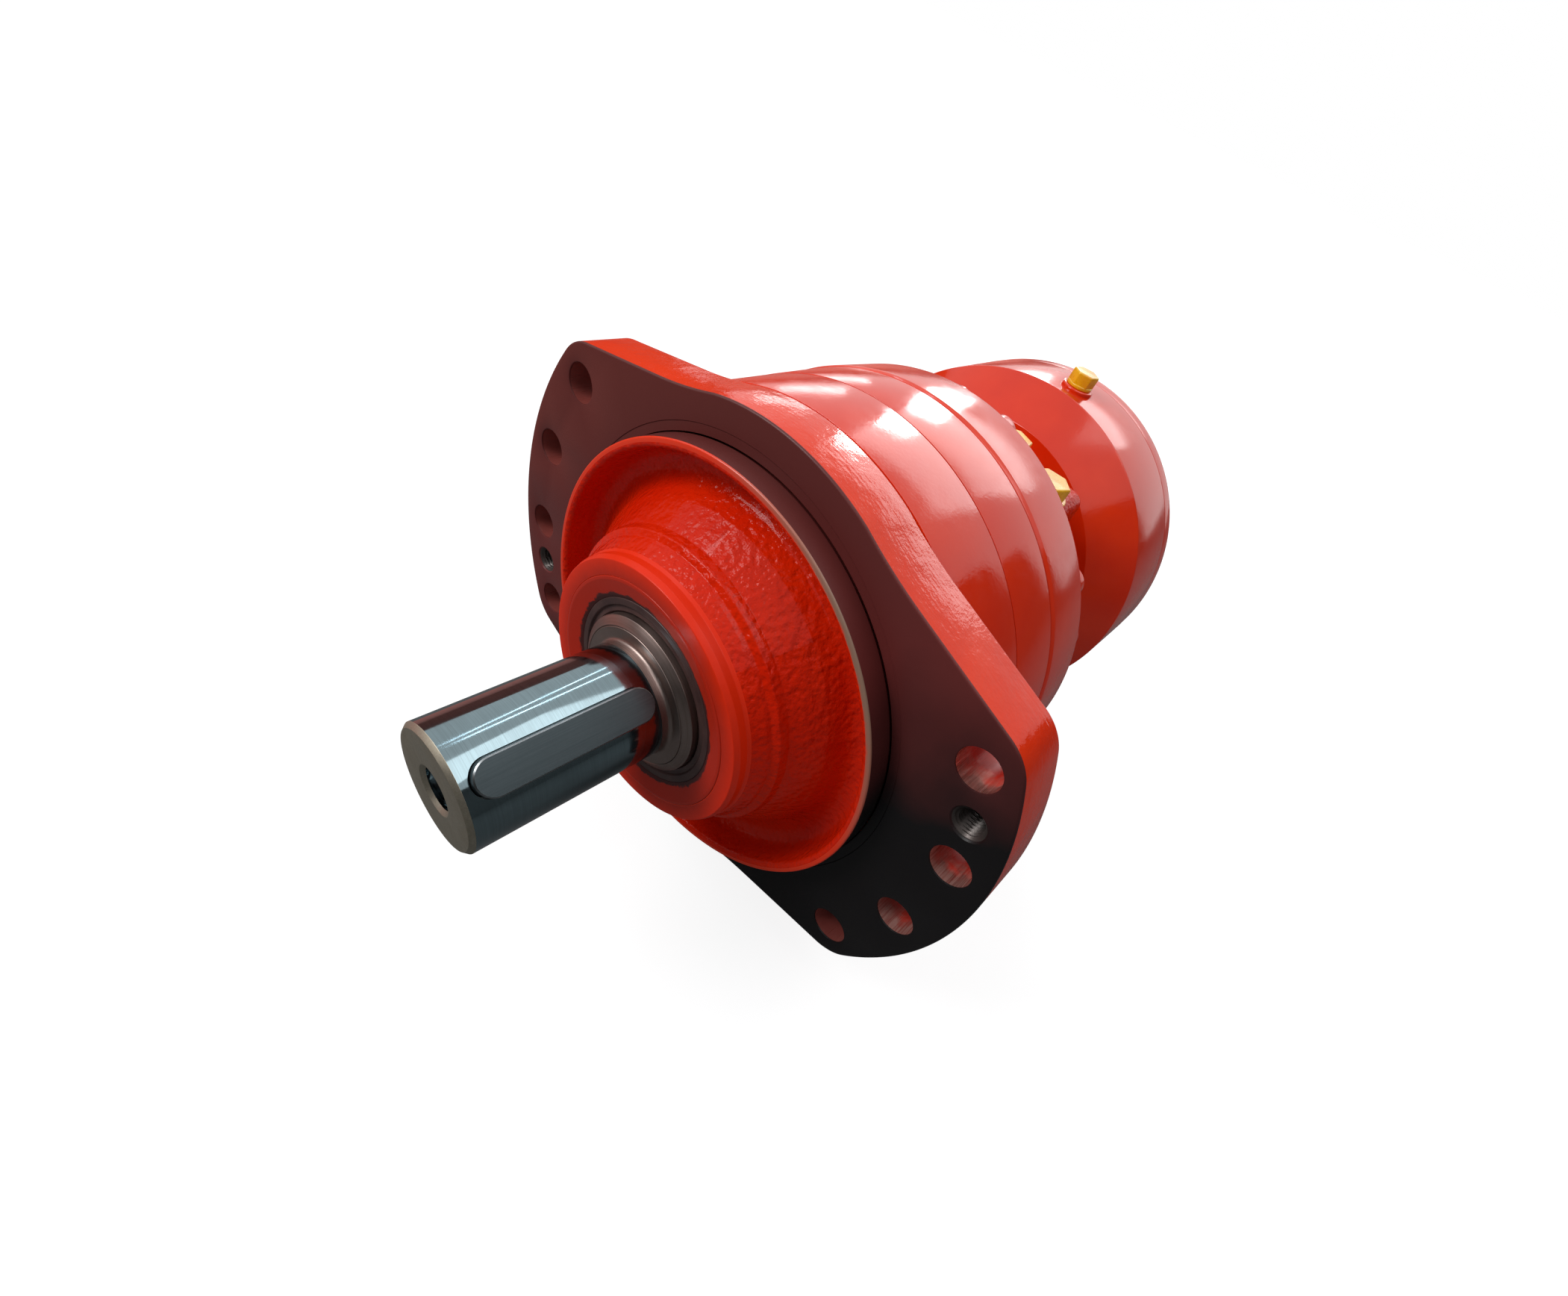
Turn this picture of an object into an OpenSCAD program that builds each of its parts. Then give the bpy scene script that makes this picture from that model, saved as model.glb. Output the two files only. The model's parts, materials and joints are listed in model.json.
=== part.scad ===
// Radial piston hydraulic motor with a keyed shaft and a spring-applied multi-disc parking brake.
// Millimetres. +X runs along the shaft towards its free end, +Y along the long axis of the flange, +Z up.
// The origin is the centre of the flange's mounting face.

/* [Mounting flange] */
// Radius of the two rounded flange ends
flange_end_r = 151; // [149:1:156]
// Thickness of the flange plate
flange_t = 26; // [22:1:32]
// How far each straight flange side lies inside the body's radius
side_inset = 3; // [1.5:0.5:5.5]
// Angle by which each straight side leans from the long axis
flange_lean = 15; // [13:0.5:17]
// Corner radius between a straight side and a rounded end
flange_corner_r = 22; // [18:1:26]
// Distance from a rounded flange end in to the circle of fixing holes
bolt_edge = 16; // [14:0.5:18]
// Diameter of a fixing hole
bolt_hole_d = 17.5; // [13:0.5:18]
// Angle of the inner pair of fixing holes from the long axis
hole_angle_in = 10; // [9:0.5:11]
// Angle of the outer pair of fixing holes from the long axis
hole_angle_out = 30; // [29:0.5:31]
// Core diameter of a jacking thread
jack_core_d = 10.2; // [8.5:0.1:12]

/* [Pilot and nose] */
// Radius of the centring pilot
pilot_r = 100; // [99:0.5:102]
// Height of the pilot above the flange face
pilot_h = 12; // [9:0.5:14]
// Width of the flat rim on the pilot
rim_w = 2.6; // [2:0.2:4]
// Depth of the dished recess below the flange face
dish_depth = 4; // [2:0.5:8]
// Height of the hub face above the flange face
hub_h = 39; // [38:0.5:42]
// Radius of the hub at its front edge
hub_r = 59.4; // [59:0.2:62]
// Radius of the cast bead round the neck
bead_r = 66.6; // [65.5:0.2:69]

/* [Body] */
// Outer radius of the body and the cam ring
body_r = 116.5; // [115.5:0.5:118]
// Length from the flange face to the cam ring
support_len = 64.5; // [64:0.5:70]
// Thickness of the cam ring
cam_len = 32; // [30:1:36]
// Length of the valve cover's round wall
cover_len = 37; // [34:1:42]
// How much smaller the valve cover's radius is at its rear edge than the body's
cover_taper = 1; // [0:0.5:4]
// Radius of the neck behind the valve cover
neck_r = 72; // [70:1:76]
// Length of the neck part of the valve cover
cover_neck_len = 44.5; // [40:1:50]
// Distance from the body's surface in to the circle of housing screws
screw_edge = 14; // [13.5:0.5:16.5]
// Number of places on the circle of housing screws
screw_places = 24; // [20:1:24]
// Angle of the first housing screw from the long axis
screw_phase = 9; // [6:0.5:12]
// Nominal diameter of a housing screw
screw_d = 12; // [10:1:12]

/* [Shaft] */
// Diameter of the keyed shaft end
shaft_d = 50; // [48:1:52]
// Length of the keyed shaft end from its shoulder
shaft_len = 81.5; // [78:0.5:110]
// Height of the shaft shoulder above the hub face
shoulder_h = 2.5; // [1.5:0.5:5]
// Chamfer at the free end of the shaft
shaft_chamfer = 1.6; // [1:0.2:3]
// Width of the key
key_w = 14; // [12:1:16]
// Height of the key
key_h = 9; // [8:0.5:10]
// Length of the key
key_len = 70; // [50:1:72]
// Depth of the keyway
keyway_depth = 5.5; // [5:0.1:6]
// Angle of the key from the long axis of the flange
key_angle = 53; // [0:1:90]
// Distance from the end of the shaft to the key
key_end_gap = 5; // [4:0.5:8]
// Core diameter of the thread in the shaft end
centre_core_d = 14; // [10:0.5:17.5]
// Depth of the thread in the shaft end
centre_depth = 36; // [25:1:42]
// Diameter of the recess at the mouth of the centre hole
centre_mouth_d = 20; // [19:0.5:24]

/* [Seal and bearings] */
// Outer radius of the running sleeve on the shaft
sleeve_r = 35.1; // [34.6:0.1:36]
// Bore radius of the running sleeve
sleeve_bore_r = 31; // [29:0.2:32]
// Outer radius of the shaft seal
seal_r = 41.8; // [41:0.2:43]
// Width of the shaft seal
seal_w = 10; // [8:0.5:12]
// Outer radius of the seal carrier ring
carrier_r = 51.4; // [51:0.2:53]
// Bore radius of the front bearing
front_bore_r = 32.5; // [32.1:0.1:33]
// Outer radius of the front bearing
front_out_r = 50; // [49:0.5:51]
// Width of the front bearing
front_w = 23; // [20:0.5:24]
// Bore radius of the rear bearing
rear_bore_r = 30; // [29.5:0.1:30.5]
// Outer radius of the rear bearing
rear_out_r = 55; // [53:0.5:56]
// Width of the rear bearing
rear_w = 24; // [22:0.5:25]
// Number of rollers in a bearing
bearing_rollers = 18; // [14:1:20]

/* [Pistons and cam] */
// Number of lobes on the cam ring
lobes = 6; // [6:1:6]
// Number of pistons in the cylinder block
piston_count = 8; // [6:1:8]
// Piston stroke, which is the height of a cam lobe
stroke = 8; // [6:0.5:8]
// Piston diameter
piston_d = 30; // [29.4:0.1:30.6]
// Roller diameter
roller_d = 20; // [18:0.5:20.4]
// Roller length
roller_len = 21; // [18:0.5:21.2]
// Thickest wall of the cam ring, between the cam track and the body's surface
cam_wall = 37.5; // [37:0.1:38]
// Gap between the cylinder block and the cam track at its smallest radius
block_gap = 2; // [1.4:0.2:3]
// Radius at which the cylinder bores end
cylinder_floor_r = 42; // [41.6:0.2:43]
// Width of the cylinder block
block_w = 40; // [38:0.5:41]
// Angle from a lobe's crest to the first piston
lobe_phase = 7.5; // [7.5:0.5:7.5]
// Outer radius of the teeth of the shaft spline
spline_r = 26; // [25:0.5:27]

/* [Brake] */
// Radius of the brake drum
drum_r = 107; // [105:0.5:108]
// Length from the valve cover's neck to the drum's front edge
flare_len = 55; // [50:1:60]
// Length of the drum
drum_len = 47; // [46:1:56]
// Thickness of the rear cover
rear_cover_t = 12; // [10.5:0.5:15]
// Thickness of one brake disc
disc_t = 2.2; // [1.8:0.1:2.3]
// Number of discs that turn with the shaft
rotor_count = 4; // [3:1:4]
// Wall of the drum round the large end of the brake piston
drum_wall = 12; // [11.5:0.5:14]
// Height of the step between the two ends of the brake piston
piston_step_h = 8; // [6:0.5:9]
// Release travel of the brake piston
brake_travel = 2.5; // [1.5:0.5:3]
// Radius of the brake shaft
brake_shaft_r = 20; // [18:0.5:21]

/* [Ports] */
// Place of the rear port along the shaft axis, behind the flange face
port_a_back = 150; // [148:1:156]
// Sideways place of the rear port
port_a_side = 44; // [42:1:46]
// Place of the second port along the shaft axis, behind the flange face
port_b_back = 165; // [164:1:166]
// Sideways place of the second port
port_b_side = 12; // [10:1:14]
// Height of the port pad above the shaft axis
pad_h = 90; // [88:0.5:90]
// Core diameter of a work port
port_core_d = 18.6; // [15:0.2:20]
// Width across flats of a port plug
plug_af = 21; // [19:0.5:24]
// Core diameter of the brake port
brake_core_d = 9; // [8:0.5:10]

/* [Hidden] */
$fn = 96;

// Clearances
seat_gap = 0.02;      // between a fixed ring and its seat
run_gap = 0.05;       // radial gap of a running fit
roll_gap = 0.15;      // between a bearing roller and its track
spline_gap = 0.2;     // between the flanks of a spline
free_gap = 0.5;       // round parts that don't guide each other
cut = 1;              // how far a cut runs past the face it opens

// Stations along the shaft axis, measured from the flange face
cam_front = -support_len;
cam_rear = cam_front - cam_len;
cover_rear = cam_rear - cover_len;
neck_rear = cover_rear - cover_neck_len;
drum_front = neck_rear - flare_len;
drum_rear = drum_front - drum_len;
motor_rear = drum_rear - rear_cover_t;
shoulder_x = hub_h + shoulder_h;
shaft_end = shoulder_x + shaft_len;
block_mid = cam_front - cam_len / 2;
block_front = block_mid + block_w / 2;
block_rear = block_mid - block_w / 2;

// Bearing stations
collar_t = 5;
front_back = hub_h - 24;               // back face of the front bearing
front_rear = front_back - front_w;     // its other face
land_w = 16;                           // housing land between the two outer rings
rear_front = front_rear - land_w;      // front face of the rear bearing
rear_back = rear_front - rear_w;       // its back face
nut_t = 8;
nut_r = 42;
front_land_r = 44;
ring_share = 0.76;                     // length of an outer ring over the bearing width
roller_tilt = 12;                      // lean of a bearing roller's axis
roller_taper = 1.6;                    // half the cone angle of a bearing roller

// Cam and piston sizes
cam_min_r = body_r - cam_wall;
block_r = cam_min_r - block_gap;
roller_r = roller_d / 2;
piston_r = piston_d / 2;
retract_gap = 0.4;                                   // roller to cam track with the pistons drawn in
roller_rest_r = cam_min_r - retract_gap - roller_r;  // roller axis with the pistons drawn in
pitch_mid_r = cam_min_r - roller_r + stroke / 2;
crown_h = 2.9;                                       // how far the piston wraps past the roller axis
crown_r = roller_rest_r + crown_h;
piston_len = crown_r - cylinder_floor_r - 4;
skirt_depth = piston_len - crown_h - roller_r - 5.6; // hollow under the piston, which leaves a floor
duct_r = cylinder_floor_r + 6;
duct_d = 9;
track_steps = 60;                                    // points on one lobe
track_gap = 0.06;                                    // roller to cam track with the pistons run out

// Brake sizes
brake_wall = 11;                             // front wall of the drum, in front of the discs
disc_gap = 0.1;
pack_front = drum_front + brake_wall;
disc_pitch = disc_t + disc_gap;
pack_len = (2 * rotor_count + 1) * disc_pitch;
pack_rear = pack_front - pack_len;
large_piston_r = drum_r - drum_wall;
small_piston_r = large_piston_r - piston_step_h;
lug_h = 6;                                   // how far a lug stands out of a fixed disc
lug_w = 12;
lug_count = 12;
lug_r = small_piston_r - 2;
disc_r = lug_r - lug_h;
piston_step = pack_rear - 8;                 // front face of the pressure chamber
brake_port_x = piston_step - 0.5;
brake_piston_t = 16;
spring_h = 5.9;                              // loaded height of the disc spring
spigot_x = piston_step - brake_travel / 4 - brake_piston_t - spring_h - 0.1;
hub_spline_r = 42;
cover_screw_r = (large_piston_r + drum_r) / 2;

// Housing screws and valve cover
screw_circle_r = body_r - screw_edge;
cover_rear_r = body_r - cover_taper;

// Turns a shape drawn along Z so that it lies along X, with angles counted from +Y towards +Z
module along_shaft() {
    rotate(120, [1, 1, 1]) children();
}

module turned(points) {
    along_shaft() rotate_extrude($fn = 180) polygon(points);
}

// A disc or rod on the shaft axis between two stations
module rod(r, from, to, sides = 96) {
    along_shaft() translate([0, 0, min(from, to)]) cylinder(r = r, h = abs(to - from), $fn = sides);
}

module tube(r_in, r_out, from, to) {
    turned([[r_in, from], [r_out, from], [r_out, to], [r_in, to]]);
}

// Puts a shape on a circle round the shaft axis
module at(angle, radius) {
    rotate([angle, 0, 0]) translate([0, radius, 0]) children();
}

// A hole or pin parallel to the shaft, at an angle and radius
module axial(angle, radius, r, from, to, sides = 32) {
    at(angle, radius) rod(r, from, to, sides);
}

// Points on an arc, from one angle to another
function arc(cx, cy, r, a0, a1, n) = [for (i = [0:n]) let (a = a0 + (a1 - a0) * i / n) [cx + r * cos(a), cy + r * sin(a)]];

// Outline of a straight-sided spline or toothed ring
function spline_points(r_root, r_tip, teeth, share) = [for (i = [0:teeth - 1], k = [0:3])
    let (quarter = 90 * share / teeth,
         a = i * 360 / teeth + [-1.25, -0.75, 0.75, 1.25][k] * quarter,
         r = (k == 0 || k == 3) ? r_root : r_tip) [r * cos(a), r * sin(a)]];

module spline_bar(r_root, r_tip, teeth, share, from, to) {
    along_shaft() translate([0, 0, min(from, to)]) linear_extrude(abs(to - from))
        polygon(spline_points(r_root, r_tip, teeth, share));
}

function screw_angles() = [for (i = [0:screw_places - 1])
    let (a = screw_phase + i * 360 / screw_places, y = screw_circle_r * cos(a), z = screw_circle_r * sin(a), head = screw_d * 0.75)
    if (z < 0 || z - head > pad_h || y + head < pad_left + pad_chamfer || y - head > pad_right) a];

// Mounting flange outline, drawn with its long axis along X
flange_side = body_r - side_inset;
bolt_circle_r = flange_end_r - bolt_edge;
corner_reach = sqrt(pow(flange_end_r - flange_corner_r, 2) - pow(flange_side - flange_corner_r, 2));
corner_angle = 90 - flange_lean - atan2(corner_reach, flange_side - flange_corner_r);
side_dir = [sin(flange_lean), cos(flange_lean)];
side_run = [cos(flange_lean), -sin(flange_lean)];
side_foot = side_dir * flange_side;
side_end = side_foot + side_run * corner_reach;
corner_place = flange_end_r - flange_corner_r + 0.02;   // a hair outwards, so that its arc crosses its neighbours
corner_mid = [cos(corner_angle), sin(corner_angle)] * corner_place;
wedge = corner_mid * 1.5;

module flange_outline() {
    circle(r = body_r, $fn = 180);
    polygon([side_foot, side_end, corner_mid, [corner_mid.x, -corner_mid.y], [side_end.x, -side_end.y],
        [side_foot.x, -side_foot.y], -side_foot, -side_end, -corner_mid, [-corner_mid.x, corner_mid.y],
        [-side_end.x, side_end.y], [-side_foot.x, side_foot.y]]);
    for (s = [0, 180]) rotate(s) {
        intersection() {
            circle(r = flange_end_r, $fn = 180);
            polygon([[0, 0], wedge, [wedge.x, -wedge.y]]);
        }
        for (m = [-1, 1]) rotate(m * corner_angle) translate([corner_place, 0])
            circle(r = flange_corner_r, $fn = 64);
    }
}

// Casting that carries the flange, the pilot, the dished nose and both bearings
rim_in_r = pilot_r - rim_w;
wall_foot_r = rim_in_r - 3;
floor_x = -dish_depth;
cone_top_x = 20.3;
bead_top_x = 22.8;
neck_root_r = bead_r + cone_top_x + dish_depth - 5;
groove_r = bead_r - 3;
groove_x = 25;
turned_step = 0.3;                     // step between the flange's waist and the turned body
spot_r = bolt_hole_d / 2 + 4.25;       // spot faces for the fixing screws on the back of the flange
spot_depth = 0.5;

module nose_solid() {
    turned(concat([[0, -flange_t], [pilot_r, -flange_t], [pilot_r, pilot_h - 0.8], [pilot_r - 0.8, pilot_h],
        [rim_in_r, pilot_h], [wall_foot_r, floor_x + 6]],
        arc(wall_foot_r - 6, floor_x + 6, 6, 0, -90, 6),
        arc(neck_root_r - 2, floor_x + 12, 12, 270, 225, 6),
        [[bead_r + 0.6, cone_top_x - 1], [bead_r, cone_top_x], [bead_r - 0.4, bead_top_x],
        [groove_r + 0.6, groove_x - 0.9], [groove_r - 0.2, groove_x], [groove_r - 0.5, groove_x + 1.5],
        [hub_r + 0.8, hub_h - 7], [hub_r, hub_h - 6], [hub_r, hub_h - 2.5], [hub_r - 1.1, hub_h], [0, hub_h]]));
}

module bearing_support() {
    color([0.85, 0.13, 0.06]) difference() {
        union() {
            along_shaft() translate([0, 0, -flange_t]) linear_extrude(flange_t) difference() {
                flange_outline();
                circle(r = pilot_r - 1.3, $fn = 180);
            }
            nose_solid();
            rod(body_r - turned_step, cam_front, -flange_t + 0.5, 180);
        }
        rod(carrier_r + seat_gap, front_back + 4, hub_h + cut);
        rod(front_out_r + seat_gap, front_rear, front_back + 5);
        rod(front_land_r, rear_front - cut, front_rear + cut);
        rod(rear_out_r + seat_gap, rear_back - cut, rear_front);
        rod(rear_out_r + 3, block_front, rear_back);
        rod(block_r + 3, cam_front - cut, block_front + 2);
        turned([[o_ring_r - 1.8, cam_front - cut], [o_ring_r + 1.8, cam_front - cut], [o_ring_r + 1.8, cam_front + 2.6],
            [o_ring_r - 1.8, cam_front + 2.6]]);
        for (a = screw_angles()) axial(a, screw_circle_r, screw_d / 2 + seat_gap, cam_front - cut, cam_front + 26);
        for (s = [0, 180]) {
            for (h = [-hole_angle_out, -hole_angle_in, hole_angle_in, hole_angle_out]) {
                axial(s + h, bolt_circle_r, bolt_hole_d / 2, -flange_t - cut, cut, 48);
                axial(s + h, bolt_circle_r, spot_r, cam_front - cut, spot_depth - flange_t, 48);
            }
            axial(s + (hole_angle_in + hole_angle_out) / 2, bolt_circle_r, jack_core_d / 2, -flange_t - cut, cut, 48);
            at(s + (hole_angle_in + hole_angle_out) / 2, bolt_circle_r) turned([[0, cut], [0, -1.8],
                [jack_core_d / 2, -1.8], [jack_core_d / 2 + 1.8, 0], [jack_core_d / 2 + 1.8, cut]]);
        }
    }
}

// Ring that closes the hub round the shaft seal, with a slightly sunken face
module seal_carrier() {
    color([0.78, 0.11, 0.06]) turned([[front_out_r - 5, front_back + 4], [carrier_r, front_back + 4],
        [carrier_r, hub_h - 0.4], [carrier_r - 0.6, hub_h + 0.2], [carrier_r - 1.5, hub_h + 0.2],
        [seal_r + 1.5, hub_h - 1.6], [seal_r + seat_gap, hub_h - 2.2], [seal_r + seat_gap, hub_h - 12.4],
        [seal_r - 2, hub_h - 12.4], [seal_r - 2, front_back + 6]]);
}

// Rubber covered seal with a lip on the sleeve
module shaft_seal() {
    front = hub_h - 2;
    back = front - seal_w;
    color([0.2, 0.1, 0.09]) turned([[seal_r, back], [seal_r, front - 0.4], [seal_r - 0.4, front],
        [sleeve_r + 3.4, front], [sleeve_r + 2.6, front - 1.2], [sleeve_r + 0.6, front - 0.6],
        [sleeve_r + run_gap, front - 1.4], [sleeve_r + 0.8, front - 2.4], [sleeve_r + 3, front - 3],
        [sleeve_r + 3, front - 5], [sleeve_r + 0.9, front - 6], [sleeve_r + run_gap, front - 7.2],
        [sleeve_r + 1.2, back + 1], [sleeve_r + 3.6, back + 0.4], [sleeve_r + 4, back]]);
}

// Tapered roller bearings. s runs from the back face of the inner ring into the bearing, dir is +1 or -1 along X
function track_mid_r(rb, ro) = (rb + ro) / 2;
function roller_mid_r(rb, ro) = (ro - rb) * 0.24;
function roller_axis_r(rb, ro, w, s) = track_mid_r(rb, ro) - tan(roller_tilt) * (s - w * 0.5);
function track_in(rb, ro, w, s) = roller_axis_r(rb, ro, w, s)
    - (roller_mid_r(rb, ro) - tan(roller_taper) * (s - w * 0.5)) / cos(roller_tilt) - roll_gap;
function track_out(rb, ro, w, s) = roller_axis_r(rb, ro, w, s)
    + (roller_mid_r(rb, ro) - tan(roller_taper) * (s - w * 0.5)) / cos(roller_tilt) + roll_gap;

// Station of the rollers' large ends at a radius, less a gap, which the inner ring's rib follows
function rib_s(rb, ro, w, r) = let (s = w * (0.52 - 0.31 * cos(roller_tilt)))
    s + (r - roller_axis_r(rb, ro, w, s)) * tan(roller_tilt) - roll_gap;

module bearing_inner(rb, ro, w, back, dir) {
    foot_r = track_in(rb, ro, w, w * 0.17);
    rib_r = foot_r + 3.4;
    turned([for (p = [[rb + seat_gap, 0], [rib_r, 0], [rib_r, rib_s(rb, ro, w, rib_r)],
        [foot_r, rib_s(rb, ro, w, foot_r)], [track_in(rb, ro, w, w * 0.87), w * 0.87],
        [track_in(rb, ro, w, w) + 0.8, w * 0.9], [track_in(rb, ro, w, w) + 0.8, w * 0.97], [rb + seat_gap, w * 0.97]])
        [p.x, back + dir * p.y]]);
}

module bearing_outer(rb, ro, w, back, dir) {
    turned([for (p = [[ro, w], [ro, w * (1 - ring_share)], [track_out(rb, ro, w, w * (1 - ring_share)), w * (1 - ring_share)],
        [track_out(rb, ro, w, w), w]]) [p.x, back + dir * p.y]]);
}

module bearing_rollers_set(rb, ro, w, back, dir, grow) {
    len = w * 0.62;
    mid = roller_mid_r(rb, ro);
    for (i = [0:bearing_rollers - 1]) rotate([i * 360 / bearing_rollers, 0, 0])
        translate([back + dir * w * 0.52, roller_axis_r(rb, ro, w, w * 0.52), 0])
        rotate([0, 0, -dir * roller_tilt]) rotate([0, dir * 90, 0])
        translate([0, 0, -len / 2 - grow]) cylinder(r1 = mid + tan(roller_taper) * len / 2 + grow,
            r2 = mid - tan(roller_taper) * len / 2 + grow, h = len + 2 * grow, $fn = 32);
}

module bearing_cage(rb, ro, w, back, dir) {
    t = 0.7;
    start = w * 0.14;
    difference() {
        turned([for (p = [[roller_axis_r(rb, ro, w, start) - t, start], [roller_axis_r(rb, ro, w, start) + t, start],
            [roller_axis_r(rb, ro, w, w * 0.97) + t, w * 0.97], [roller_axis_r(rb, ro, w, w * 0.97) - t, w * 0.97]])
            [p.x, back + dir * p.y]]);
        bearing_rollers_set(rb, ro, w, back, dir, 0.1);
    }
}

module front_bearing_cup() {
    color("silver") bearing_outer(front_bore_r, front_out_r, front_w, front_back, -1);
}

module rear_bearing_cup() {
    color("silver") bearing_outer(rear_bore_r, rear_out_r, rear_w, rear_back, 1);
}

module front_bearing_cone() {
    color("silver") bearing_inner(front_bore_r, front_out_r, front_w, front_back, -1);
}

module rear_bearing_cone() {
    color("silver") bearing_inner(rear_bore_r, rear_out_r, rear_w, rear_back, 1);
}

module front_rollers() {
    color("gainsboro") bearing_rollers_set(front_bore_r, front_out_r, front_w, front_back, -1, 0);
}

module rear_rollers() {
    color("gainsboro") bearing_rollers_set(rear_bore_r, rear_out_r, rear_w, rear_back, 1, 0);
}

module front_roller_cage() {
    color("darkgray") bearing_cage(front_bore_r, front_out_r, front_w, front_back, -1);
}

module rear_roller_cage() {
    color("darkgray") bearing_cage(rear_bore_r, rear_out_r, rear_w, rear_back, 1);
}

// Shaft with its keyed end, seal journal, bearing seats, nut thread and rear spline
module drive_shaft() {
    thread_rear = rear_back - nut_t;
    color([0.55, 0.58, 0.6]) difference() {
        union() {
            turned([[0, block_front - 2], [rear_bore_r - 2, block_front - 2], [rear_bore_r - 2, rear_back],
                [rear_bore_r, rear_back], [rear_bore_r, rear_front], [front_bore_r - 0.5, rear_front],
                [front_bore_r - 0.5, front_rear], [front_bore_r, front_rear], [front_bore_r, front_back],
                [front_bore_r + 4.5, front_back], [front_bore_r + 4.5, front_back + collar_t],
                [sleeve_bore_r, front_back + collar_t], [sleeve_bore_r, shoulder_x - 0.4],
                [sleeve_bore_r - 0.4, shoulder_x], [shaft_d / 2 + 1.2, shoulder_x], [shaft_d / 2 + 0.4, shoulder_x + 0.4],
                [shaft_d / 2, shoulder_x + 1.2], [shaft_d / 2, shaft_end - shaft_chamfer],
                [shaft_d / 2 - shaft_chamfer, shaft_end], [0, shaft_end]]);
            spline_bar(spline_r - 2.5, spline_r, 16, 1, block_mid - 1, block_front);
        }
        keyway(1);
        rod(centre_core_d / 2, shaft_end - centre_depth - 4, shaft_end + cut, 48);
        turned([[0, shaft_end + cut], [0, shaft_end - 5], [centre_core_d / 2 + 1.5, shaft_end - 5],
            [centre_core_d / 2 + 1.5, shaft_end - 1.5], [centre_mouth_d / 2, shaft_end], [centre_mouth_d / 2, shaft_end + cut]]);
    }
}

module key_bar(extra, top) {
    start = shaft_end - key_end_gap - key_len;
    floor_r = shaft_d / 2 - keyway_depth;
    rotate([key_angle - 90, 0, 0]) translate([0, 0, floor_r]) linear_extrude(top) {
        translate([start + key_w / 2, -key_w / 2 - extra]) square([key_len - key_w, key_w + 2 * extra]);
        for (x = [start + key_w / 2, start + key_len - key_w / 2]) translate([x, 0]) circle(r = key_w / 2 + extra, $fn = 64);
    }
}

module keyway(extra) {
    key_bar(0.04 * extra, shaft_d);
}

module shaft_key() {
    color([0.26, 0.29, 0.31]) intersection() {
        key_bar(0, key_h);
        rotate([key_angle - 90, 0, 0]) translate([shaft_end - key_end_gap - key_len / 2, 0, 0])
            cube([key_len + cut, key_w + cut, 2 * (shaft_d / 2 - keyway_depth + key_h)], center = true);
    }
}

// Hardened ring that the seal lip runs on
module seal_sleeve() {
    color([0.5, 0.47, 0.44]) turned([[sleeve_bore_r + seat_gap, front_back + collar_t], [sleeve_r, front_back + collar_t],
        [sleeve_r, hub_h], [sleeve_bore_r + 0.6, shoulder_x - 0.1], [sleeve_bore_r + seat_gap, shoulder_x - 0.4]]);
}

// Slotted nut that holds the bearings together
module bearing_nut() {
    color("dimgray") difference() {
        tube(rear_bore_r - 2 + seat_gap, nut_r, rear_back - nut_t + 0.3, rear_back);
        for (a = [0:90:270]) at(a, nut_r) translate([rear_back - nut_t / 2, 0, 0]) cube([2 * nut_t, 8, 8], center = true);
    }
}

// Cam track: the rollers' own path, moved outwards by the roller's radius and a small gap
function pitch_r(a) = pitch_mid_r + stroke / 2 * cos(lobes * a);
function pitch_slope(a) = -stroke / 2 * lobes * sin(lobes * a);
function track_point(a) = let (r = pitch_r(a), d = pitch_slope(a), out = (roller_r + track_gap) / sqrt(r * r + d * d))
    [r * cos(a) + out * (r * cos(a) + d * sin(a)), r * sin(a) + out * (r * sin(a) - d * cos(a))];
function track_outline() = [for (i = [0:lobes * track_steps - 1]) track_point(i * 360 / (lobes * track_steps))];

module cam_ring() {
    color([0.86, 0.14, 0.07]) difference() {
        turned([[cam_min_r - 4, cam_rear], [body_r - 0.4, cam_rear], [body_r, cam_rear + 0.5],
            [body_r, cam_front - 0.5], [body_r - 0.4, cam_front], [cam_min_r - 4, cam_front]]);
        rotate([-lobe_phase, 0, 0]) along_shaft() translate([0, 0, cam_rear - cut]) linear_extrude(cam_len + 2 * cut)
            polygon(track_outline());
        for (a = screw_angles()) axial(a, screw_circle_r, screw_d / 2 + 0.5, cam_rear - cut, cam_front + cut);
    }
}

// Cylinder block with its radial bores, feed ducts and splined bore
module cylinder_block() {
    color("slategray") difference() {
        turned([[0, block_rear], [block_r - 1, block_rear], [block_r, block_rear + 1],
            [block_r, block_front - 1], [block_r - 1, block_front], [nut_r + 3, block_front], [nut_r + 1, block_front - 2],
            [0, block_front - 2]]);
        spline_bar(spline_r - 2.5 + spline_gap, spline_r + spline_gap, 16, 1.16, block_rear - cut, block_front + cut);
        for (i = [0:piston_count - 1]) rotate([i * 360 / piston_count, 0, 0]) {
            translate([block_mid, cylinder_floor_r, 0]) rotate([-90, 0, 0]) cylinder(r = piston_r + run_gap, h = block_r);
            translate([0, duct_r, 0]) rod(duct_d / 2, block_rear - cut, block_mid, 32);
        }
    }
}

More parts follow.
